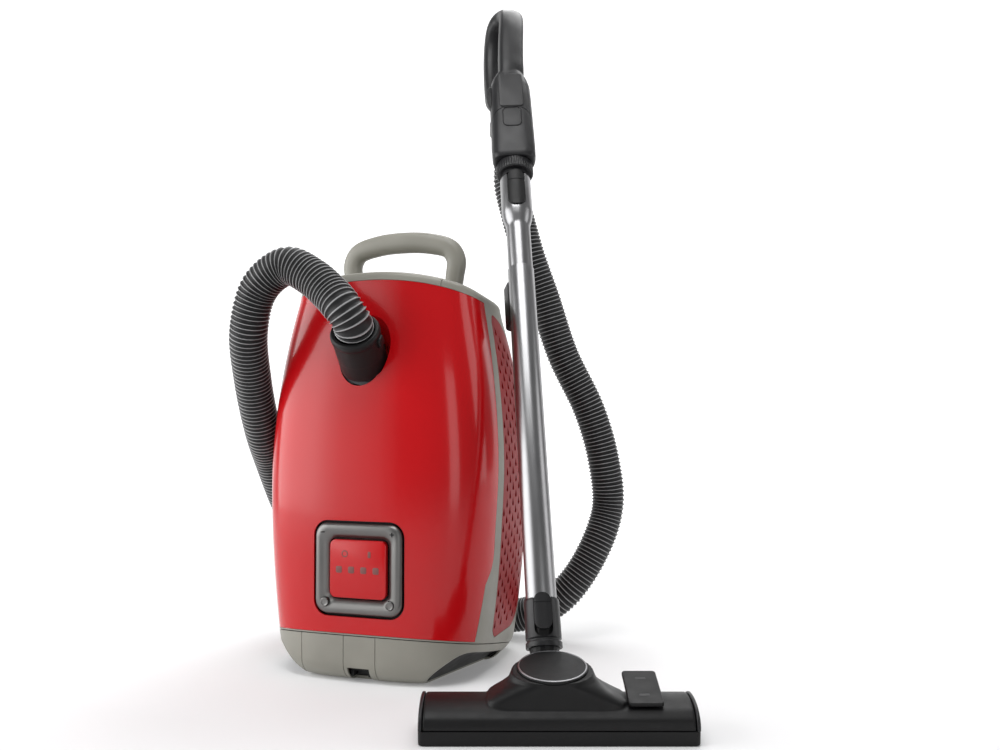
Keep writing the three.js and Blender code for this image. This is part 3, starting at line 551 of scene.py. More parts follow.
PORT_WORLD = WAND @ PORT
cuff_end = INLET + INLET_AXIS * (CUFF_LENGTH + 0.4)
FRONT_ROUTE = [
    cuff_end, cuff_end + INLET_AXIS * 12,
    *(Vector(point) for point in (
        (-2, -155, 469), (-22, -151, 489), (-52, -146, 512), (-88, -143, 527), (-128, -141, 503),
        (-153, -128, 449), (-172, -88, 385), (-185, -42, 317), (-195, 0, 272), (-196, 60, 190),
        (-182, 122, 110), (-140, 172, 56), (-80, 189, 31), (-36, 190, 26.4),
    )),
    SEAM_POINT - Vector((0.2, 0, 0)),
]
REAR_ROUTE = [
    SEAM_POINT + Vector((0.2, 0, 0)),
    *(Vector(point) for point in (
        (36, 190, 26.4), (84, 188, 28), (140, 184, 38), (192, 180, 70), (232, 196, 130), (252, 214, 197),
        (247, 208, 270), (228, 198, 343), (191, 182, 427), (166, 167, 512), (144, 156, 580),
        (125, 157, 645), (115, 157, 690),
    )),
    PORT_WORLD @ Vector((0, 0, PORT_END + 8)), PORT_WORLD @ Vector((0, 0, PORT_END + 0.4)),
]


def between(a, b, start, end, t):
    """The point at t on the straight line that is at a at start and at b at end."""
    return a * ((end - t) / (end - start)) + b * ((t - start) / (end - start))


def smooth_line(points, samples=24):
    """A centripetal Catmull-Rom line through points."""
    line = [2 * points[0] - points[1], *points, 2 * points[-1] - points[-2]]
    result = []
    for a, b, c, d in zip(line, line[1:], line[2:], line[3:]):
        t0 = 0
        t1 = t0 + math.sqrt((b - a).length)
        t2 = t1 + math.sqrt((c - b).length)
        t3 = t2 + math.sqrt((d - c).length)
        for k in range(samples):
            t = t1 + (t2 - t1) * k / samples
            ab = between(a, b, t0, t1, t)
            bc = between(b, c, t1, t2, t)
            cd = between(c, d, t2, t3, t)
            abc = between(ab, bc, t0, t2, t)
            bcd = between(bc, cd, t1, t3, t)
            result.append(between(abc, bcd, t1, t2, t))
    result.append(points[-1].copy())
    return result


def line_length(points):
    return sum((b - a).length for a, b in zip(points, points[1:]))


def points_along(points, stations):
    """Points on a line at distances from its start."""
    gaps = [(b - a).length for a, b in zip(points, points[1:])]
    travelled = np.concatenate([[0], np.cumsum(gaps)])
    table = np.array([tuple(p) for p in points])
    return [Vector([np.interp(s, travelled, table[:, k]) for k in range(3)]) for s in stations]


def sweep(name, centres, sections, start_side):
    """Sections, each a list of (across, up) points, carried along centres without twist."""
    rings = []
    side = Vector(start_side)
    for i, centre in enumerate(centres):
        ahead = centres[min(i + 1, len(centres) - 1)] - centres[max(i - 1, 0)]
        ahead.normalize()
        side = (side - ahead * side.dot(ahead)).normalized()
        up = ahead.cross(side)
        rings.append([centre + side * a + up * b for a, b in sections[i]])
    return stack(name, rings)


def make_hose(name, route):
    """The ribbed hose along a route, and the line that it follows."""
    line = smooth_line(route)
    length = line_length(line)
    ribs = round(length / RIB_PITCH)
    stations = []
    heights = []
    for rib in range(ribs):
        for phase in RIB_PHASES:
            stations.append((rib + phase) * length / ribs)
            heights.append(math.exp(-(((phase - 0.5) / RIB_WIDTH) ** 2)))
    stations.append(length)
    heights.append(heights[0])
    centres = points_along(line, stations)
    sections = [circle_section(HOSE_RADIUS - RIB_DEPTH * (1 - h), HOSE_SIDES) for h in heights]
    made = sweep(name, centres, sections, X_AXIS + Z_AXIS * 0.3)
    # the rib height, which the hose material also uses to paint a highlight on the ridges and shade in the
    # grooves
    ridge = made.data.attributes.new("ridge", "FLOAT", "POINT")
    values = np.repeat(heights, HOSE_SIDES).astype(np.float32)
    ridge.data.foreach_set("value", values[: len(made.data.vertices)])
    made.data.materials.append(HOSE)
    return made, centres, length


hose_front, front_line, front_length = make_hose("ribbed_hose_front", FRONT_ROUTE)
hose_rear, rear_line, rear_length = make_hose("ribbed_hose_rear", REAR_ROUTE)
for made, centres, length, node in (
    (hose_front, front_line, front_length, "hose_front"),
    (hose_rear, rear_line, rear_length, "hose_rear"),
):
    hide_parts(node)
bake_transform(hose_front)
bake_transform(hose_rear)


# ------------------------------------------------------------------ the canister's outer form
FORM_COUNT = 200
FRONT_POWER = 3.4
REAR_POWER = 6
FAR = 300  # beyond the canister in every direction


def side_at(z):
    """Half the canister's width at a height."""
    if z > WIDEST:
        return HALF_WIDTH * (1 - 0.2 * ((z - WIDEST) / 252) ** 1.7)
    return HALF_WIDTH * (1 - 0.07 * ((WIDEST - z) / 176) ** 2)


def front_at(z):
    return FRONT * (1 - 0.3 * (max(z - 150, 0) / 375) ** 3)


def back_at(z):
    return BACK * (1 - 0.2 * (max(z - 300, 0) / 225) ** 2)


def crown_at(x, y):
    return TOP - CROWN_BEND * x * x - CROWN_SLOPE * (y - CROWN_START)


def seam_at(y):
    return SEAM_HEIGHT - SEAM_SLOPE * (y + FRONT)


def canister_outline(z, inset, count):
    """One horizontal outline: round in front, squarer behind, with evenly spaced points."""
    dense = []
    for i in range(count * 8):
        angle = TAU * i / (count * 8)
        rear = math.sin(angle) > 0
        depth = (back_at(z) if rear else front_at(z)) - inset
        across, along = squarish(angle, 2 / (REAR_POWER if rear else FRONT_POWER))
        dense.append(((side_at(z) - inset) * across, depth * along))
    table = np.array(dense + dense[:1])
    travelled = np.concatenate([[0], np.cumsum(np.hypot(*np.diff(table, axis=0).T))])
    stations = np.linspace(0, travelled[-1], count, endpoint=False)
    return list(zip(np.interp(stations, travelled, table[:, 0]), np.interp(stations, travelled, table[:, 1])))


def canister_form(name, inset=0.0, count=FORM_COUNT):
    """The canister's outer form, made smaller all round by inset."""
    rings = []
    steps = 8
    for i in range(steps + 1):
        angle = i / steps * math.pi / 2
        z = BOTTOM_ROUND * (1 - math.cos(angle))
        pull = BOTTOM_ROUND * (1 - math.sin(angle)) + inset
        rings.append([(x, y, max(z, inset)) for x, y in canister_outline(z, pull, count)])
    shoulder = TOP - RIM
    for z in np.arange(36, shoulder - 6, 9):
        lean = (max(0, z - WIDEST) / (shoulder - WIDEST)) ** 1.5
        level = canister_outline(z, inset, count)
        rings.append([(x, y, z + lean * (crown_at(x, y) - TOP)) for x, y in level])
    for i in range(7):
        angle = i / 6 * math.pi / 2
        pull = TOP_ROUND * (1 - math.cos(angle)) + inset
        drop = TOP_ROUND * (1 - math.sin(angle)) + inset
        rings.append([(x, y, crown_at(x, y) - drop) for x, y in canister_outline(shoulder, pull, count)])
    last = canister_outline(shoulder, TOP_ROUND + inset, count)
    for shrink in (0.8, 0.55, 0.3, 0.08):
        rings.append([(x * shrink, y * shrink, crown_at(x * shrink, y * shrink) - inset) for x, y in last])
    return stack(name, rings)


outer_form = canister_form("outer_form")
inner_form = canister_form("inner_form", SHELL, 100)


def form_normals():
    """A search tree over the outer form, with its smooth normals."""
    mesh = outer_form.data
    tree = BVHTree.FromPolygons([v.co for v in mesh.vertices], [p.vertices for p in mesh.polygons])
    normals = [v.normal.copy() for v in mesh.vertices]
    return tree, mesh.copy(), normals


FORM_TREE, FORM_MESH, FORM_NORMALS = form_normals()


def form_normal(point):
    """The outer form's smooth normal nearest to a point, or None if the point isn't on it."""
    place, _, index, distance = FORM_TREE.find_nearest(point)
    if place is None or distance > 0.12 * MM:
        return None
    corners = FORM_MESH.polygons[index].vertices
    total = Vector()
    for corner in corners:
        gap = (FORM_MESH.vertices[corner].co - place).length
        total += FORM_NORMALS[corner] / (gap * gap + 1e-9)
    return total.normalized()


def shade_like_form(made):
    """Gives the faces that lie on the outer form its own smooth shading, so that cuts leave no ripples."""
    sharpen(made, 30)
    mesh = made.data
    normals = [None] * len(mesh.loops)
    corner_normals = [n.vector.copy() for n in mesh.corner_normals]
    for polygon in mesh.polygons:
        on_form = form_normal(polygon.center)
        for loop in polygon.loop_indices:
            normal = None
            if on_form is not None and on_form.dot(polygon.normal) > 0.9:
                normal = form_normal(mesh.vertices[mesh.loops[loop].vertex_index].co)
            normals[loop] = normal or corner_normals[loop]
    mesh.normals_split_custom_set(normals)
    return made


def under_crown(name, drop):
    """Everything under the crown surface, lowered by drop."""
    reach = 200
    rings = []
    for y in (-reach, reach):
        top = [(x, y, crown_at(x, y) - drop) for x in np.linspace(reach, -reach, 81)]
        rings.append([(-reach, y, -50), (reach, y, -50), *top])
    return stack(name, rings, smooth=False)


STRIP_LINE = [(p.x, p.y) for p in smooth_line([Vector((y, z, 0)) for y, z in STRIP_EDGE], 6)]


def lid_region(name, margin):
    """The space in front of the side strips and above the base seam."""
    above = 1.6 + margin
    side = prism_x(name, [
        (-FAR, seam_at(-FAR) + above),
        (STRIP_FOOT - margin, seam_at(STRIP_FOOT) + above),
        *((y - margin, z) for y, z in STRIP_LINE),
        (STRIP_EDGE[-1][0] - margin, 2 * FAR),
        (-FAR, 2 * FAR),
    ], -FAR, FAR)
    return keep(side, under_crown("crown_cut", RIM + margin))


def grille_region(name, margin, side):
    """The space of one perforated side panel."""
    low = GRILLE_LOW + margin
    high = GRILLE_HIGH - margin
    back = GRILLE_BACK - margin
    front = [(y + STRIP_WIDTH + margin, z) for y, z in STRIP_LINE if STRIP_EDGE[2][1] <= z < high - 8]
    bottom = front[0][0]
    top = front[-1][0]
    frame_points = fillet([
        (bottom, low + 12), (bottom + 12, low), (back - 26, low), (back, low + 26), (back, high - 60),
        (back - 30, high - 14), (top + 10, high), *reversed(front),
    ], [5, 5, 16, 16, 30, 30, 8, *([0] * len(front))], 6)
    return prism_x(name, frame_points, side * 90, side * 200)


def seam_half(name, gap, above):
    """All the space above or below the seam between base and lid."""
    end = 700 if above else -50
    edge = [(-FAR, seam_at(-FAR) + gap), (FAR, seam_at(FAR) + gap)]
    return prism_x(name, [*edge, (FAR, end), (-FAR, end)], -FAR, FAR)


skin = cut(copy_of(outer_form, "skin"), copy_of(inner_form, "hollow"))

# ------------------------------------------------------------------ lid
def bezel_block(name, grow, corner, y0, y1):
    """A block of the bezel's outline, wider than it by grow, between two depths."""
    edge = rounded_rectangle(BEZEL_WIDTH + grow, BEZEL_TALL + grow, corner, 8)
    return stack(name, [[(x, y, BEZEL_Z + t) for x, t in edge] for y in (y0, y1)], smooth=False)


def funnel(name, grow, low):
    """The space of the flared recess round the cuff, made wider by grow."""
    side = [(r + grow, max(z, low) if z > CUP[0][1] else low) for r, z in CUP]
    return lathe(name, [(0, low), *side, (62 + grow, 90), (0, 90)], CUFF, 128, radius=14, steps=8)


def make_lid():
    plain = keep(copy_of(skin, "lid_skin"), lid_region("lid_space", SEAM))
    cup = cut(funnel("cup", SHELL, -18), funnel("cup_space", 0, -14))
    keep(cup, canister_form("cup_limit", 0.05, 120))
    cut(plain, funnel("cup_hole", 0, -14))
    cut(plain, bezel_block("bezel_pocket", 6, 20, -140, -80))
    join(plain, cup)
    cut(plain, cylinder("cuff_hole", CUFF_RADIUS + 0.6, -60, 20, CUFF))
    shade_like_form(plain)
    return finish_piece(plain, "lid", RED, "red", "lid")


make_lid()


# ------------------------------------------------------------------ bezel
def frame_ring(name, profile):
    """A square ring: profile holds (inset from the outer edge, depth y) points round its section."""
    layers = []
    for inset, y in profile:
        corner = max(17 - inset * 0.4, 4)
        ring = rounded_rectangle(BEZEL_WIDTH - 2 * inset, BEZEL_TALL - 2 * inset, corner, 10)
        layers.append([(x, y, BEZEL_Z + t) for x, t in ring])
    return stack(name, layers, closed_loop=True)


def make_bezel():
    face = BEZEL_FACE
    inner = (BEZEL_WIDTH - WINDOW - 4) / 2
    profile = fillet([
        (0, -111), (0, face + 4.8), (2.6, face + 1), (inner * 0.38, face), (inner * 0.7, face + 2),
        (inner - 0.3, face + 7), (inner, -111),
    ], [0.5, 3, 5, 9, 6, 1, 0.5], 5)
    ring = frame_ring("bezel_frame", profile)
    for side in (-1, 1):
        place = front_matrix(side * BUTTON_X, BUTTON_Z)
        cut(ring, cylinder("button_hole", BUTTON_RADIUS + 0.5, 10, 220, place, 40))
    sharpen(ring, 40)
    finish_piece(ring, "bezel_ring", BEZEL, "bezel_metal", "bezel_ring")
    marks = []
    for side, upright in ((-1, False), (1, True)):
        place = front_matrix(side * (BEZEL_WIDTH / 2 - 12), BEZEL_Z + BEZEL_TALL / 2 - 12)
        marks.append(soft_plate("mark", 6, 1.2, 0.4, -face, -face + 0.45, 0.2, place, 2))
        if upright:
            marks.append(soft_plate("mark", 1.2, 6, 0.4, -face, -face + 0.45, 0.2, place, 2))
    finish_piece(merge(*marks), "bezel_ring", BLACK, "black").name = "plus_minus_marks"


make_bezel()
for node, side in (("power_button", -1), ("rewind_button", 1)):
    top = -BEZEL_FACE + 0.9
    button = lathe(f"{node}_cap", [
        (0, 111.6), (BUTTON_RADIUS, 111.6), (BUTTON_RADIUS, top), (BUTTON_RADIUS - 1, top + 0.5),
        (3.6, top), (0, top - 0.2),
    ], front_matrix(side * BUTTON_X, BUTTON_Z), 48, radius=0.4)
    finish_piece(button, node, BEZEL, "bezel_metal", node)

tray = join(bezel_block("tray", 16, 22, -106.4, -102.4), bezel_block("tray_step", 4, 18.5, -108.4, -106.2))
finish_piece(sharpen(tray), "lid", BLACK, "black", "bezel_tray").name = "bezel_tray_plate"
WINDOW_FACE = 116.2
panel_place = front_matrix(0, BEZEL_Z)
panel = soft_plate("display_window", WINDOW, WINDOW - 5, 8, 108.8, WINDOW_FACE, 1.2, panel_place, 8)
finish_piece(panel, "lid", RED, "red", "display_panel")


def display_marks():
    """Plain marks in the window: a ring, an upright bar and a row of four squares."""
    low = WINDOW_FACE - 0.1
    high = WINDOW_FACE + 0.12
    ring = [(3, low), (4.4, low), (4.4, high), (3, high)]
    marks = [
        lathe("dial", ring, front_matrix(-18, BEZEL_Z + 19), 36, radius=0),
        soft_plate("bar", 4, 8, 1, low, high, 0.05, front_matrix(16, BEZEL_Z + 19), 3),
    ]
    for x in (-26, -9, 8, 25):
        marks.append(soft_plate("square", 8.5, 8.5, 2, low, high, 0.05, front_matrix(x, BEZEL_Z - 1), 3))
    return merge(*marks)


finish_piece(display_marks(), "lid", MARK, "red").name = "display_marks"

# ------------------------------------------------------------------ inlet cuff
cuff = lathe("inlet_cuff", [
    (22, -17), (CUFF_RADIUS - 0.2, -17), (CUFF_RADIUS - 0.2, 6), (CUFF_RADIUS, 8), (CUFF_RADIUS, 35),
    (CUFF_RADIUS + 0.9, 37), (CUFF_RADIUS + 0.9, 43), (CUFF_RADIUS - 1, CUFF_LENGTH), (25.8, CUFF_LENGTH),
    (25.6, 41), (22, 37),
], CUFF, 96, radius=1)
cut(cuff, transformed(box_object("catch_pocket", (27, -6.4, 23.6), (40, 6.4, 38.4)), CUFF))
sharpen(cuff, 40)
finish_piece(cuff, "hose_cuff", BLACK, "black", "hose_cuff")
catch = soft_plate("inlet_catch", 14, 12, 2.5, 29, 34.5, 1.4,
                   CUFF @ Matrix.Translation((0, 0, 31)) @ Matrix.Rotation(math.pi / 2, 4, "Y"))
finish_piece(catch, "cuff_latch", BLACK, "black", "cuff_latch")

# ------------------------------------------------------------------ body shell, base and grilles
def surface_groove(low, high):
    """A fine joint line, equally deep all along the canister's form."""
    return cut(box_object("groove", low, high), canister_form("groove_depth", 1.0, 120))


CASTER_PLACES = {"left": (-98, 128), "right": (98, 128), "nose": (0, 392)}
latch_space = box_object("latch_space", (26, -72, 480), (56, -48, 560))
shell = keep(copy_of(skin, "shell"), seam_half("upper", 0, True))
cut(shell, lid_region("lid_space", 0), grille_region("right_space", 0, 1), grille_region("left_space", 0, -1))
cut(shell, latch_space, box_object("outlet_space", (-16, 100, 52), (16, 160, 68)))
cut(shell, surface_groove((94.6, -130, 440), (95.5, -30, 560)))
for place_x, place_z in CASTER_PLACES.values():
    cut(shell, cylinder("stem_hole", 5.4, -160, -100, front_matrix(place_x, place_z), 32))
shade_like_form(shell)
finish_piece(shell, "canister", GREY, "grey", "body_shell").name = "grey_shell"

base = keep(copy_of(skin, "base_skin"), seam_half("lower", -2 * SEAM, False))
base_floor = keep(
    copy_of(outer_form, "floor_form"), box_object("floor_space", (-200, -200, -5), (200, 200, 4)))
join(base, base_floor)


def arch_space(name, side):
    """The space under one raised side of the base. Its roof keeps to the seam."""
    section = fillet([
        (ARCH_FOOT - 8, -8), (ARCH_FOOT, 0), (ARCH_SHOULDER, ARCH_TOP - 5), (ARCH_SHOULDER + 10, ARCH_TOP),
        (FAR, ARCH_TOP), (FAR, -8),
    ], [0, 6, 14, 14, 0, 0], 6)
    layers = []
    for y in (-FAR, ARCH_BACK):
        drop = ARCH_SLOPE * (y + 63)
        layers.append([(side * x, y, z - drop) for x, z in section])
    return stack(name, layers, smooth=False)


for side in (-1, 1):
    cut(base, arch_space("arch", side))
for groove_x in (-82, -20, 24):
    cut(base, surface_groove((groove_x - 0.45, -200, 3), (groove_x + 0.45, -60, 70)))
cut(base, box_object("park_space", (-PARK_HALF, -130, -1), (PARK_HALF, -90, 19)))
shade_like_form(base)
finish_piece(base, "canister", GREY, "grey", "base").name = "grey_base"

HOLE_TALL = 12
HOLE_RADIUS = 3.3
HOLE_ACROSS = 13  # from one column of holes to the next
HOLE_UP = 21  # from one hole to the next one above it
HOLE_EDGE = 6  # from the panel's edge to the nearest hole


def teardrop(y, z):
    """A vent hole's outline: round below, pointed above."""
    points = []
    for i in range(10):
        angle = math.pi + math.pi * i / 9
        points.append((y + HOLE_RADIUS * math.cos(angle), z + HOLE_RADIUS * math.sin(angle)))
    points.append((y, z + HOLE_TALL - HOLE_RADIUS))
    return points


def vent_cutters(side):
    """One cutter for every vent hole of a side panel."""
    cutters = []
    edge_z = [z for _, z in STRIP_LINE]
    edge_y = [y + STRIP_WIDTH for y, _ in STRIP_LINE]
    for column in range(9):
        y = column * HOLE_ACROSS - 12
        shift = HOLE_UP / 2 if column % 2 else 0
        highest = GRILLE_HIGH - 26 - (max(0, y - 40) * 0.75)
        for z in np.arange(GRILLE_LOW + 16 + shift, highest, HOLE_UP):
            front = np.interp(max(z, STRIP_EDGE[2][1]), edge_z, edge_y)
            if front + HOLE_EDGE < y < GRILLE_BACK - HOLE_EDGE - 1:
                cutters.append(prism_x("vent", teardrop(y, z), side * 90, side * 200))
    return merge(*cutters)


for name, side in (("right", 1), ("left", -1)):
    grille = keep(copy_of(skin, f"vent_panel_{name}"), grille_region("space", SEAM, side))
    cut(grille, vent_cutters(side))
    shade_like_form(grille)
    finish_piece(grille, "canister", RED_GRILLE, "red", f"grille_{name}")

rim_button = keep(
    copy_of(outer_form, "rim_button"), box_object("button_space", (26.6, -71.4, 492), (55.4, -48.6, 560)))
finish_piece(shade_like_form(rim_button), "lid_latch", GREY, "grey", "lid_latch")

# ------------------------------------------------------------------ carry handle
CARRY_Y = 25


def carry_section(t):
    """The bar's section: a fat oval in the middle, rounder and slimmer in the legs."""
    middle = math.sin(math.pi * t) ** 0.7
    tall = 9.5 + 5.2 * middle
    deep = 10 + 2.2 * middle
    return [(deep * a, tall * b) for a, b in (squarish(TAU * i / 40, 0.85) for i in range(40))]


carry_line = smooth_line([Vector((x, CARRY_Y, z)) for x, z in (
    (-68, 470), (-70, 503), (-77, 530), (-79, 551), (-70, 567), (-40, 576.5), (0, 579.5),
    (40, 576.5), (70, 567), (79, 551), (77, 530), (74, 503), (72, 470),
)])
carry_steps = np.linspace(0, 1, 90)
carry_centres = points_along(carry_line, carry_steps * line_length(carry_line))
carry = sweep("carry_bar", carry_centres, [carry_section(t) for t in carry_steps], Vector((0, 1, 0)))
finish_piece(carry, "canister", GREY, "grey", "carry_handle")

# ------------------------------------------------------------------ tubes
REAR = WAND @ Matrix.Rotation(REAR_TURN, 4, "Z")


def front_cutter(name, width, tall, corner, t, depth=10, place=WAND):
    """A block with round ends, reaching from outside the wand's front to a depth before its axis."""
    return soft_plate(name, width, tall, corner, depth, 45, 0.3, place @ front_matrix(0, t), 10)


outer_tube = lathe("wand_outer_tube", [(17.2, 60), (18, 60), (18, 540), (17.2, 540)], WAND, 96, radius=0.5)
finish_piece(outer_tube, "outer_tube", CHROME, "chrome", "outer_tube")
inner_tube = lathe("wand_inner_tube", [
    (15.6, 240), (16.8, 240), (16.8, 612), (20.2, 624), (22, 634), (22, 693.5), (20.8, 693.5), (20.8, 634),
    (19, 624), (15.6, 612),
], WAND, 96, radius=3)
cut(inner_tube, front_cutter("latch_window", 25, 94, 11.5, 683))
sharpen(inner_tube, 40)
finish_piece(inner_tube, "handle", CHROME, "chrome", "inner_tube")

bracket = soft_plate("telescope_clamp", 38, 31, 8, 458, 522, 2, REAR @ Matrix.Translation((0, 13.5, 0)))
cut(bracket, cylinder("tube_space", 18.4, 400, 600, WAND, 64))
cut(bracket, transformed(box_object("slot", (-8.5, 24, 470), (8.5, 40, 510)), REAR))
finish_piece(sharpen(bracket), "outer_tube", BLACK, "black", "telescope_bracket")
release = soft_plate("telescope_slider", 16, 32, 3, -32, -24.5, 1.2, REAR @ front_matrix(0, 487))
finish_piece(release, "telescope_release", BLACK, "black", "telescope_release")

collar = lathe("neck_collar_sleeve", [
    (17.7, 31), (20.9, 31), (20.9, 37), (19.2, 38), (19.2, 40), (20.6, 41), (20.4, 83), (19.6, 86),
    (18.4, 86), (18.4, 59.5), (17.7, 59.5),
], WAND, 96, radius=0.6)
cut(collar, front_cutter("latch_hole", 21, 70, 9.5, 76))
finish_piece(sharpen(collar, 40), "outer_tube", CHARCOAL, "black", "neck_collar")
collar_latch = keep(
    lathe("collar_button", [
        (19.4, 40), (22.8, 40), (22.8, 78), (22.2, 78.4), (22.2, 79.2), (22.8, 79.6), (22.8, 94), (19.4, 94),
    ], WAND, 96, radius=0),
    front_cutter("button_space", 20, 41, 9, 69.5),
)
finish_piece(sharpen(collar_latch, 40), "collar_latch", CHARCOAL, "black", "collar_latch")

# ------------------------------------------------------------------ handle
BODY_TABLE = [
    # distance up the wand, half width, front, back
    (721.4, 29.5, -26.5, 12), (727, 31.5, -28, 12.5), (742, 31.8, -28.3, 14), (790, 31.6, -28.2, 24),
    (840, 31.2, -28, 34), (862, 30.6, -27, 37), (876, 27.6, -25.6, 38), (886, 22, -24.6, 38),
    (892, 17, -24, 36),
]
FLAP_SEAT = 24.9
TO_REAR = Matrix.Rotation(REAR_TURN, 3, "Z")


def handle_core(name, less, low, high, count):
    """The handle's body made smaller all round, between two heights."""
    layers = []
    for t in np.linspace(low, high, count):
        half, front, back = table_row(BODY_TABLE, t)
        layers.append(oval(half - less, front + less, back - less, t, 3.4))
    return stack(name, layers)


def grip_loop():
    """The closed loop above the body: a flat front limb, a crown and a rear limb."""
    line = smooth_line([Vector((back, along, 0)) for back, along in (
        (24, 880), (-5, 872), (-12, 890), (-13, 920), (-13, 955), (-11, 990), (-4, 1016), (8, 1033),
        (24, 1041), (41, 1035), (54, 1017), (63, 988), (66, 955), (65.5, 925), (62, 900), (48, 884),
        (24, 880),
    )], 10)
    count = 110
    centres = points_along(line, np.linspace(0, line_length(line), count, endpoint=False))
    rings = []
    for i, centre in enumerate(centres):
        ahead = (centres[(i + 1) % count] - centres[i - 1]).normalized()
        outward = Vector((ahead.y, -ahead.x, 0))
        front = 1 / (1 + math.exp((centre.x - 22) / 7))
        half_wide = 15.5 + 4 * front
        half_deep = 12.5 + 1 * front
        rise = min(max((centre.y - 885) / 150, 0), 1)
        bend = 11 * front * rise * rise - 5 * (1 - front)
        ring = []
        for k in range(36):
            wide, deep = squarish(TAU * k / 36, 0.72)
            place = centre + outward * (half_deep * deep)
            ring.append(behind(place.x, place.y) + TO_REAR @ Vector((half_wide * wide + bend, 0, 0)))
        rings.append(ring)
    return stack("grip_loop", rings, closed_loop=True)


def arched_seam():
    """The curved joint line round the handle's front, above the flap."""
    rings = []
    for x in np.linspace(-36, 36, 49):
        rise = 809 - 0.00002 * abs(x) ** 4
        rings.append([(x, 4, rise), (x, -40, rise), (x, -40, rise + 1.2), (x, 4, rise + 1.2)])
    return cut(stack("arched_seam", rings, smooth=False), handle_core("seam_depth", 1.3, 770, 830, 24))


def make_handle():
    handle = handle_core("handle_core", 0, BODY_TABLE[0][0], BODY_TABLE[-1][0], 60)
    join(handle, grip_loop())
    join(handle, cylinder("port", 30, 0, 20, PORT, 72))
    blend_solids(handle, 1.3, 6)
    join(handle, soft_plate("front_panel", 36, 64, 5, 20, 29.2, 1.2, front_matrix(0, 843), 8))
    join(handle, cylinder("spigot", 20.2, 645, 740, None, 72))
    cut(handle, cylinder("bore", 15, 630, 816, None, 48))
    cut(handle, cylinder("port_bore", 20, -6, 60, PORT, 48))
    cut(handle, cylinder("port_seat", 28.6, 13, 80, PORT, 64))
    cut(handle, front_cutter("flap_space", 28, 36.6, 8, 791.2, FLAP_SEAT, Matrix.Identity(4)))
    cut(handle, box_object("trigger_space", (-40, -16, 817.6), (-23.5, -2, 864.4)))
    cut(handle, box_object("latch_space", (-13, -40, 630), (13, -10, 697)))
    cut(handle, arched_seam())
    transformed(handle, WAND)
    sharpen(handle, 38)
    return finish_piece(handle, "handle", CHARCOAL, "charcoal", "handle_body")


make_handle().name = "grip_handle"


def knurled_ring():
    """The ring under the handle, with fine ribs round it."""
    teeth = 44
    rings = []
    for z, rib in ((703, 0.2), (704.5, 1), (719, 1), (720.8, 0.2)):
        ring = []
        for i in range(teeth * 6):
            wave = 0.5 + 0.5 * math.cos(TAU * i / 6)
            radius = 26.2 + 0.8 * rib * wave - (1.2 if rib < 1 else 0)
            angle = TAU * i / (teeth * 6)
            ring.append((radius * math.cos(angle), radius * math.sin(angle), z))
        rings.append(ring)
    made = stack("grip_ring_body", rings, WAND)
    cut(made, cylinder("ring_bore", 20.7, 680, 760, WAND, 64))
    return sharpen(made, 40)


finish_piece(knurled_ring(), "handle", CHARCOAL, "charcoal", "grip_ring").name = "knurled_ring"

tongue = keep(
    lathe("latch_tongue", [(8, 630), (24.4, 630), (24.4, 700), (8, 700)], WAND, 96, radius=0),
    front_cutter("tongue_space", 24, 59, 10, 666.5, 16.5),
)
cut(tongue, lathe("cross_line", [(23.6, 679.4), (30, 679.4), (30, 680.4), (23.6, 680.4)], WAND, 96, radius=0))
finish_piece(sharpen(tongue, 40), "handle_latch", BLACK, "black", "handle_latch").name = "latch_tongue"
flap = soft_plate("bleed_flap", 27, 34.4, 7.5, 25.6, 28.7, 1, WAND @ front_matrix(0, 791), 8)
finish_piece(flap, "air_flap", CHARCOAL, "charcoal", "air_flap")


def make_trigger():
    """A lobed finger lever at the handle's left side."""
    points = [(-27.8, 819), (-31, 822), (-35.2, 832), (-36.6, 843), (-36, 853), (-33, 861), (-27.8, 863.4)]
    outline_points = fillet(points, 4, 4)
    layers = []
    for y, shrink in ((-15.2, 0.92), (-14.4, 1), (-3.6, 1), (-2.8, 0.92)):
        layers.append([(-30 + (x + 30) * shrink, y, 841 + (t - 841) * shrink) for x, t in outline_points])
    return sharpen(stack("finger_lever", layers, WAND), 45)


finish_piece(make_trigger(), "trigger", BLACK, "black", "trigger")
port_sleeve = lathe("hose_end_sleeve", [
    (22, 14), (28, 14), (28, 42), (27, PORT_END), (25.4, PORT_END), (22, 44),
], PORT_WORLD, 96, radius=1)
finish_piece(port_sleeve, "hose_sleeve", BLACK, "black", "hose_sleeve")

# ------------------------------------------------------------------ floor head
SHELL_LOW = 15.6
BAR_HALF = 39
BAR_PROFILE = [
    (-BAR_HALF, SHELL_LOW), (-BAR_HALF, 19.5), (-36.5, 26.5), (-28, 34), (-14, 39), (4, 41), (22, 39),
    (33, 32), (BAR_HALF, 23), (BAR_HALF, SHELL_LOW),
]


def head_bar(name, grow, x0, x1, low, ends=1.5):
    """The long housing: one side profile carried along the head, its ends rounded."""
    points = [(y + math.copysign(grow, y), low if z == SHELL_LOW else z + grow) for y, z in BAR_PROFILE]
    profile = fillet(points, [0, 1, 5, 7, 9, 9, 9, 6, 4, 0], 4)
    start = [(x0, ends), (x0 + ends * 0.3, ends * 0.3), (x0 + ends, 0)]
    finish = [(x1 - ends, 0), (x1 - ends * 0.3, ends * 0.3), (x1, ends)]
    layers = []
    for x, shrink in start + finish:
        wide = 1 - shrink / BAR_HALF
        tall = 1 - shrink / 28
        layers.append([(x, y * wide, low + (z - low) * tall) for y, z in profile])
    return stack(name, layers)


BELL_TABLE = [
    # height, middle x, half width, front, back
    (30, -1, 73.5, -28.4, 36), (39, -1, 73, -28.4, 36), (41, -3, 70.5, -28.4, 36), (45, -4, 64, -28.6, 36),
    (50, -4.4, 56, -29, 36), (54.6, -4.8, 50.5, -29.8, 37), (60, -5, 46.5, -31, 38), (66, -5, 44, -32, 39),
    (77, -5, 42, -33, 40),
]


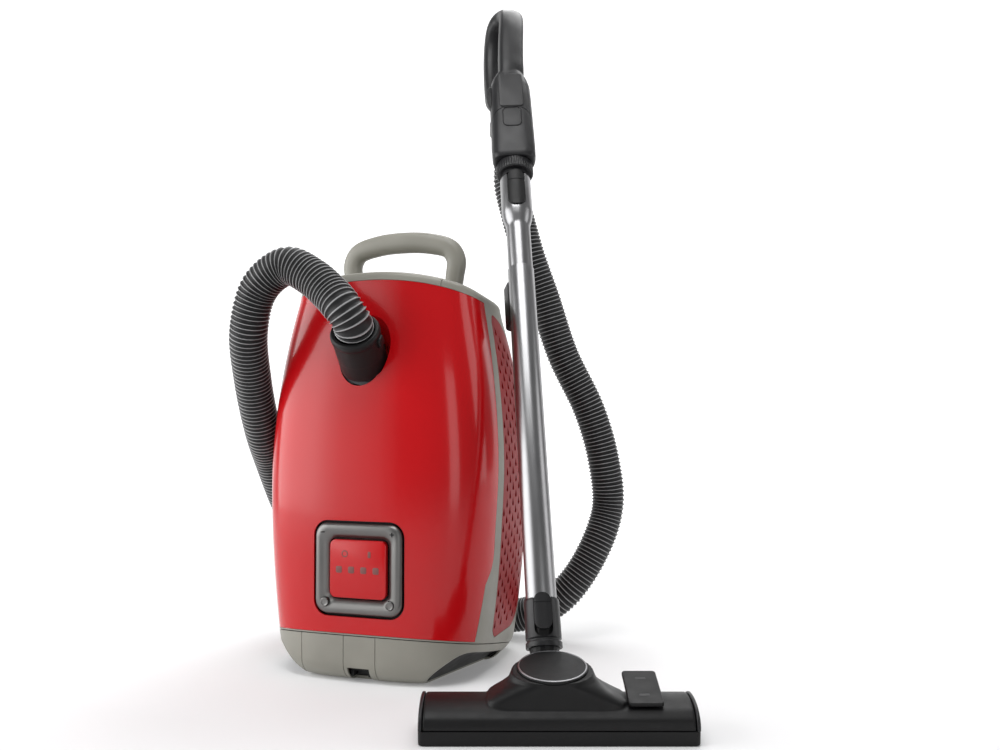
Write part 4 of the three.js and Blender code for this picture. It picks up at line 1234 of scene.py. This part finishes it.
def bell():
    """The raised housing under the badge: wide at its foot, sweeping in to the badge."""
    layers = []
    for z in np.linspace(BELL_TABLE[0][0], BELL_TABLE[-1][0], 48):
        middle, half, front, back = table_row(BELL_TABLE, z)
        power = 2.1 + max(58 - z, 0) / 4  # nearly round from 58 up, squarer towards the foot
        layers.append(oval(half, front, back, z, power, 96, middle))
    return stack("bell", layers)


BADGE_RADIUS = 38
BADGE_TILT = math.radians(10.5)
BADGE = aim(Vector((-4.6, 7, 67)), Vector((0, -math.sin(BADGE_TILT), math.cos(BADGE_TILT))))
LUG_GAP = 20
LUG_THICK = 5


def across_head(x0):
    """A frame along the head's length at the neck pivot's height and depth."""
    return Matrix.Translation((x0, PIVOT_IN_HEAD.y, PIVOT.z)) @ Matrix.Rotation(math.pi / 2, 4, "Y")


def make_head_shell():
    shell = head_bar("head_core", 0, -140.6, 140.6, SHELL_LOW)
    hump = bell()
    cut(hump, cylinder("badge_seat", 90, 0.6, 40, BADGE, 64))
    join(shell, hump)
    blend_solids(shell, 1.2, 4)
    cut(shell, box_object("trim", (-200, -60, 0), (200, 60, SHELL_LOW + 0.4)))
    cut(shell, cylinder("seat", BADGE_RADIUS + 0.6, -0.4, 40, BADGE, 96))
    middle = PIVOT_IN_HEAD.x
    cut(shell, box_object("neck_space", (middle - LUG_GAP, 19, 43), (middle + LUG_GAP, 90, 90)))
    cut(shell, cylinder("barrel_space", 18.5, -LUG_GAP, LUG_GAP, across_head(middle), 64))
    for start in (middle - LUG_GAP - LUG_THICK, middle + LUG_GAP):
        disc = [(0, 0), (9, 0), (9, LUG_THICK), (0, LUG_THICK)]
        lug = lathe("lug", disc, across_head(start), 64, radius=0.6)
        foot = box_object("lug_foot", (start, 28, 30), (start + LUG_THICK, 46.5, PIVOT.z + 8.9))
        join(shell, join(lug, foot))
    cut(shell, cylinder("axle_hole", 4.5, -40, 40, across_head(middle), 32))
    cut(shell, box_object("web_space", (80, -10, 20), (102, 14, 80)))
    transformed(shell, HEAD)
    sharpen(shell, 38)
    return finish_piece(shell, "floor_head", BLACK, "black", "head_shell")


make_head_shell().name = "head_housing"
badge = lathe("badge_disc", [
    (0, 0), (BADGE_RADIUS, 0), (BADGE_RADIUS, 2.4), (BADGE_RADIUS - 1, 3.1), (32, 3.6), (0, 4.2),
], HEAD @ BADGE, 128, radius=0.8)
finish_piece(badge, "floor_head", BLACK, "black", "badge")
rim_points = [(35.4, 2.6), (37.2, 2.4), (37, 3.5), (35.6, 3.7)]
badge_rim = lathe("badge_rim", rim_points, HEAD @ BADGE, 128, radius=0.2)
finish_piece(badge_rim, "floor_head", BADGE_RING, "bezel_metal")

for name, side in (("left", -1), ("right", 1)):
    x0, x1 = sorted((side * 141.2, side * 145))
    cap = transformed(head_bar(f"head_cap_{name}", 0.4, x0, x1, SHELL_LOW + 0.2, 1.2), HEAD)
    finish_piece(sharpen(cap, 45), "floor_head", CHARCOAL, "charcoal", f"end_cap_{name}")

sole_rings = []
for z, grow in ((0.3, -1.2), (1, -0.3), (2.2, 0), (13, 0.3), (15.0, 0.1)):
    sole_rings.append([(x, y, z) for x, y in rounded_rectangle(HEAD_LENGTH + 2 * grow, 78 + 2 * grow, 5, 6)])
sole = stack("head_sole", sole_rings)
cut(sole, box_object("inside", (-141, -35, 4), (141, 35, 20)))
cut(sole, box_object("mouth", (-95, -9, -5), (95, 9, 10)))
cut(sole, box_object("strip", (-121, -26.6, -5), (121, -19.4, 10)))
for x in (-112, 112):
    cut(sole, box_object("roller_space", (x - 8, 14.6, -5), (x + 8, 29.4, 14)))
transformed(sole, HEAD)
finish_piece(sharpen(sole), "floor_head", BLACK, "black", "sole_plate")


PEDAL_X = 91
PEDAL_RISE = 17
PEDAL_RUN = 62


def make_pedal():
    """A raised rocker plate with two plain marks."""
    slope = math.atan2(PEDAL_RISE, PEDAL_RUN)
    tilt = HEAD @ Matrix.Translation((PEDAL_X, 2, 49.5)) @ Matrix.Rotation(slope, 4, "X")
    length = math.hypot(PEDAL_RISE, PEDAL_RUN)
    plate = soft_plate("rocker_plate", 37, length, 4, -4.5, 0, 1.2, tilt, 6)
    join(plate, transformed(box_object("web", (PEDAL_X - 9, -5, 33), (PEDAL_X + 9, 9, 46)), HEAD))
    finish_piece(sharpen(plate, 40), "pedal", BLACK, "black", "pedal")
    marks = []
    for along in (-16, 16):
        place = tilt @ Matrix.Translation((0, along, 0))
        marks.append(soft_plate("mark", 11, 4.2, 1, -0.1, 0.15, 0.05, place, 3))
    finish_piece(merge(*marks), "pedal", CHARCOAL, "charcoal").name = "pedal_marks"


make_pedal()

# ------------------------------------------------------------------ casters
CASTER_TRAIL = 12
CASTER_REACH = 23
for name, (x, z) in CASTER_PLACES.items():
    centre = (x, back_at(z) + CASTER_REACH, z - CASTER_TRAIL)
    hub = Matrix.Translation(centre) @ Matrix.Rotation(math.pi / 2, 4, "Y")
    wheel = lathe(f"wheel_{name}", [
        (3.4, -7), (9, -7), (10, -5.5), (12.5, -5.5), (13.5, -8), (16, -7), (17, -4.5), (17, 4.5), (16, 7),
        (13.5, 8), (12.5, 5.5), (10, 5.5), (9, 7), (3.4, 7),
    ], hub, 64, radius=1)
    finish_piece(wheel, f"caster_wheel_{name}", RUBBER, "black", f"caster_wheel_{name}")

# ------------------------------------------------------------------ CAD nodes that stay
KEPT = {
    "arch_liner_left": BLACK, "arch_liner_right": BLACK, "parking_socket": BLACK, "cord_outlet": BLACK,
    "motor_housing": INNER, "motor": ALLOY, "fan_rotor": ALLOY, "reel_bracket": INNER, "cord_drum": INNER,
    "circuit_board": BOARD, "motor_filter": PAPER, "exhaust_filter": PAPER, "bag_holder": INNER,
    "dust_bag": PAPER, "neck_yoke": BLACK, "bristle_strip": BRISTLE, "roller_left": RUBBER,
    "roller_right": RUBBER, "caster_fork_left": BLACK, "caster_fork_right": BLACK, "caster_fork_nose": BLACK,
}
for node, material in KEPT.items():
    node_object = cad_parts[node]
    node_object.data.materials.clear()
    node_object.data.materials.append(material)
    edge = node_object.modifiers.new("edge", "BEVEL")
    edge.width = 0.4 * MM
    edge.segments = 2
    edge.limit_method = "ANGLE"
    edge.angle_limit = math.radians(40)

remove(skin)
remove(outer_form)
remove(inner_form)


# ------------------------------------------------------------------ floor and light
GLOW_RANGE = (-0.3, 2.6, 0.05, 0.95)  # where the glow starts and is full, in metres, and its strength there


def pale_surface():
    """White paper that glows towards its far end, so that it stays white where the lamps fall off."""
    material, tree, shader = new_material("pale_floor", (0.74, 0.74, 0.745), 0.7, specular_ior_level=0.1)
    add_bump(tree, shader, add_noise(tree, 30, 2), 0.02, 0.0005)
    place = tree.nodes.new("ShaderNodeTexCoord")
    split = tree.nodes.new("ShaderNodeSeparateXYZ")
    reach = tree.nodes.new("ShaderNodeMapRange")
    tree.links.new(place.outputs["Object"], split.inputs["Vector"])
    tree.links.new(split.outputs["Y"], reach.inputs["Value"])
    for key, value in zip(("From Min", "From Max", "To Min", "To Max"), GLOW_RANGE):
        reach.inputs[key].default_value = value
    shader.inputs["Emission Color"].default_value = (1, 1, 1, 1)
    tree.links.new(reach.outputs["Result"], shader.inputs["Emission Strength"])
    return material


def make_backdrop():
    """A sheet that lies on the floor and rises in a wide curve far behind."""
    bend_start = 3200
    bend = 2600
    reach = 7000
    profile = [(-6000, 0), (bend_start, 0)]
    for i in range(1, 13):
        angle = i / 12 * math.pi / 2
        profile.append((bend_start + bend * math.sin(angle), bend * (1 - math.cos(angle))))
    profile.append((bend_start + bend, reach))
    points = [(x, y, z) for x in (-reach, reach) for y, z in profile]
    count = len(profile)
    faces = [(i, i + 1, count + i + 1, count + i) for i in range(count - 1)]
    return mesh_object("backdrop", points, faces, Matrix.Rotation(HEAD_TURN, 4, "Z"))


floor = make_backdrop()
floor.data.materials.append(pale_surface())


def softbox(name, place, target, width, tall, power):
    data = bpy.data.lights.new(name, "AREA")
    data.shape = "RECTANGLE"
    data.size = width
    data.size_y = tall
    data.energy = power
    light = bpy.data.objects.new(name, data)
    light.location = place
    light.rotation_euler = (Vector(target) - Vector(place)).to_track_quat("-Z", "Y").to_euler()
    bpy.context.collection.objects.link(light)


def key_wall():
    """Upright panels in an arc on the left, weaker towards the front, for one soft-edged highlight."""
    reach = 2.0
    height = 0.92
    tall = 1.8
    for azimuth, width, radiance in (  # the angles in degrees
        (-72, 34, 3.6), (-46, 18, 3.6), (-35, 4, 3), (-31, 4, 2.2), (-27, 4, 1.4), (-23, 4, 0.7),
        (-19, 4, 0.3),
    ):
        turn = math.radians(azimuth)
        place = (reach * math.sin(turn), -reach * math.cos(turn), height)
        across = 2 * reach * math.tan(math.radians(width / 2))
        softbox("key_panel", place, (0, 0, height), across, tall, radiance * math.pi * across * tall)


key_wall()
softbox("front_right", (1.5, -1.9, 0.6), (0.2, 0, 0.35), 0.7, 1.2, 5.5)
softbox("top", (0.15, -0.75, 2.1), (0, -0.05, 0.2), 1.3, 0.9, 20)
softbox("top_back", (0.2, 0.9, 2.2), (0, 0.1, 0.2), 1.5, 1.0, 22)
softbox("side_right", (2.2, 0.5, 0.9), (0.1, 0, 0.35), 1.0, 1.6, 9)

world = bpy.data.worlds.new("studio")
world.use_nodes = True
sky = world.node_tree.nodes["Background"]
sky.inputs["Color"].default_value = (0.95, 0.95, 0.96, 1)
sky.inputs["Strength"].default_value = 0.22
bpy.context.scene.world = world
bpy.context.scene.view_settings.view_transform = "Standard"
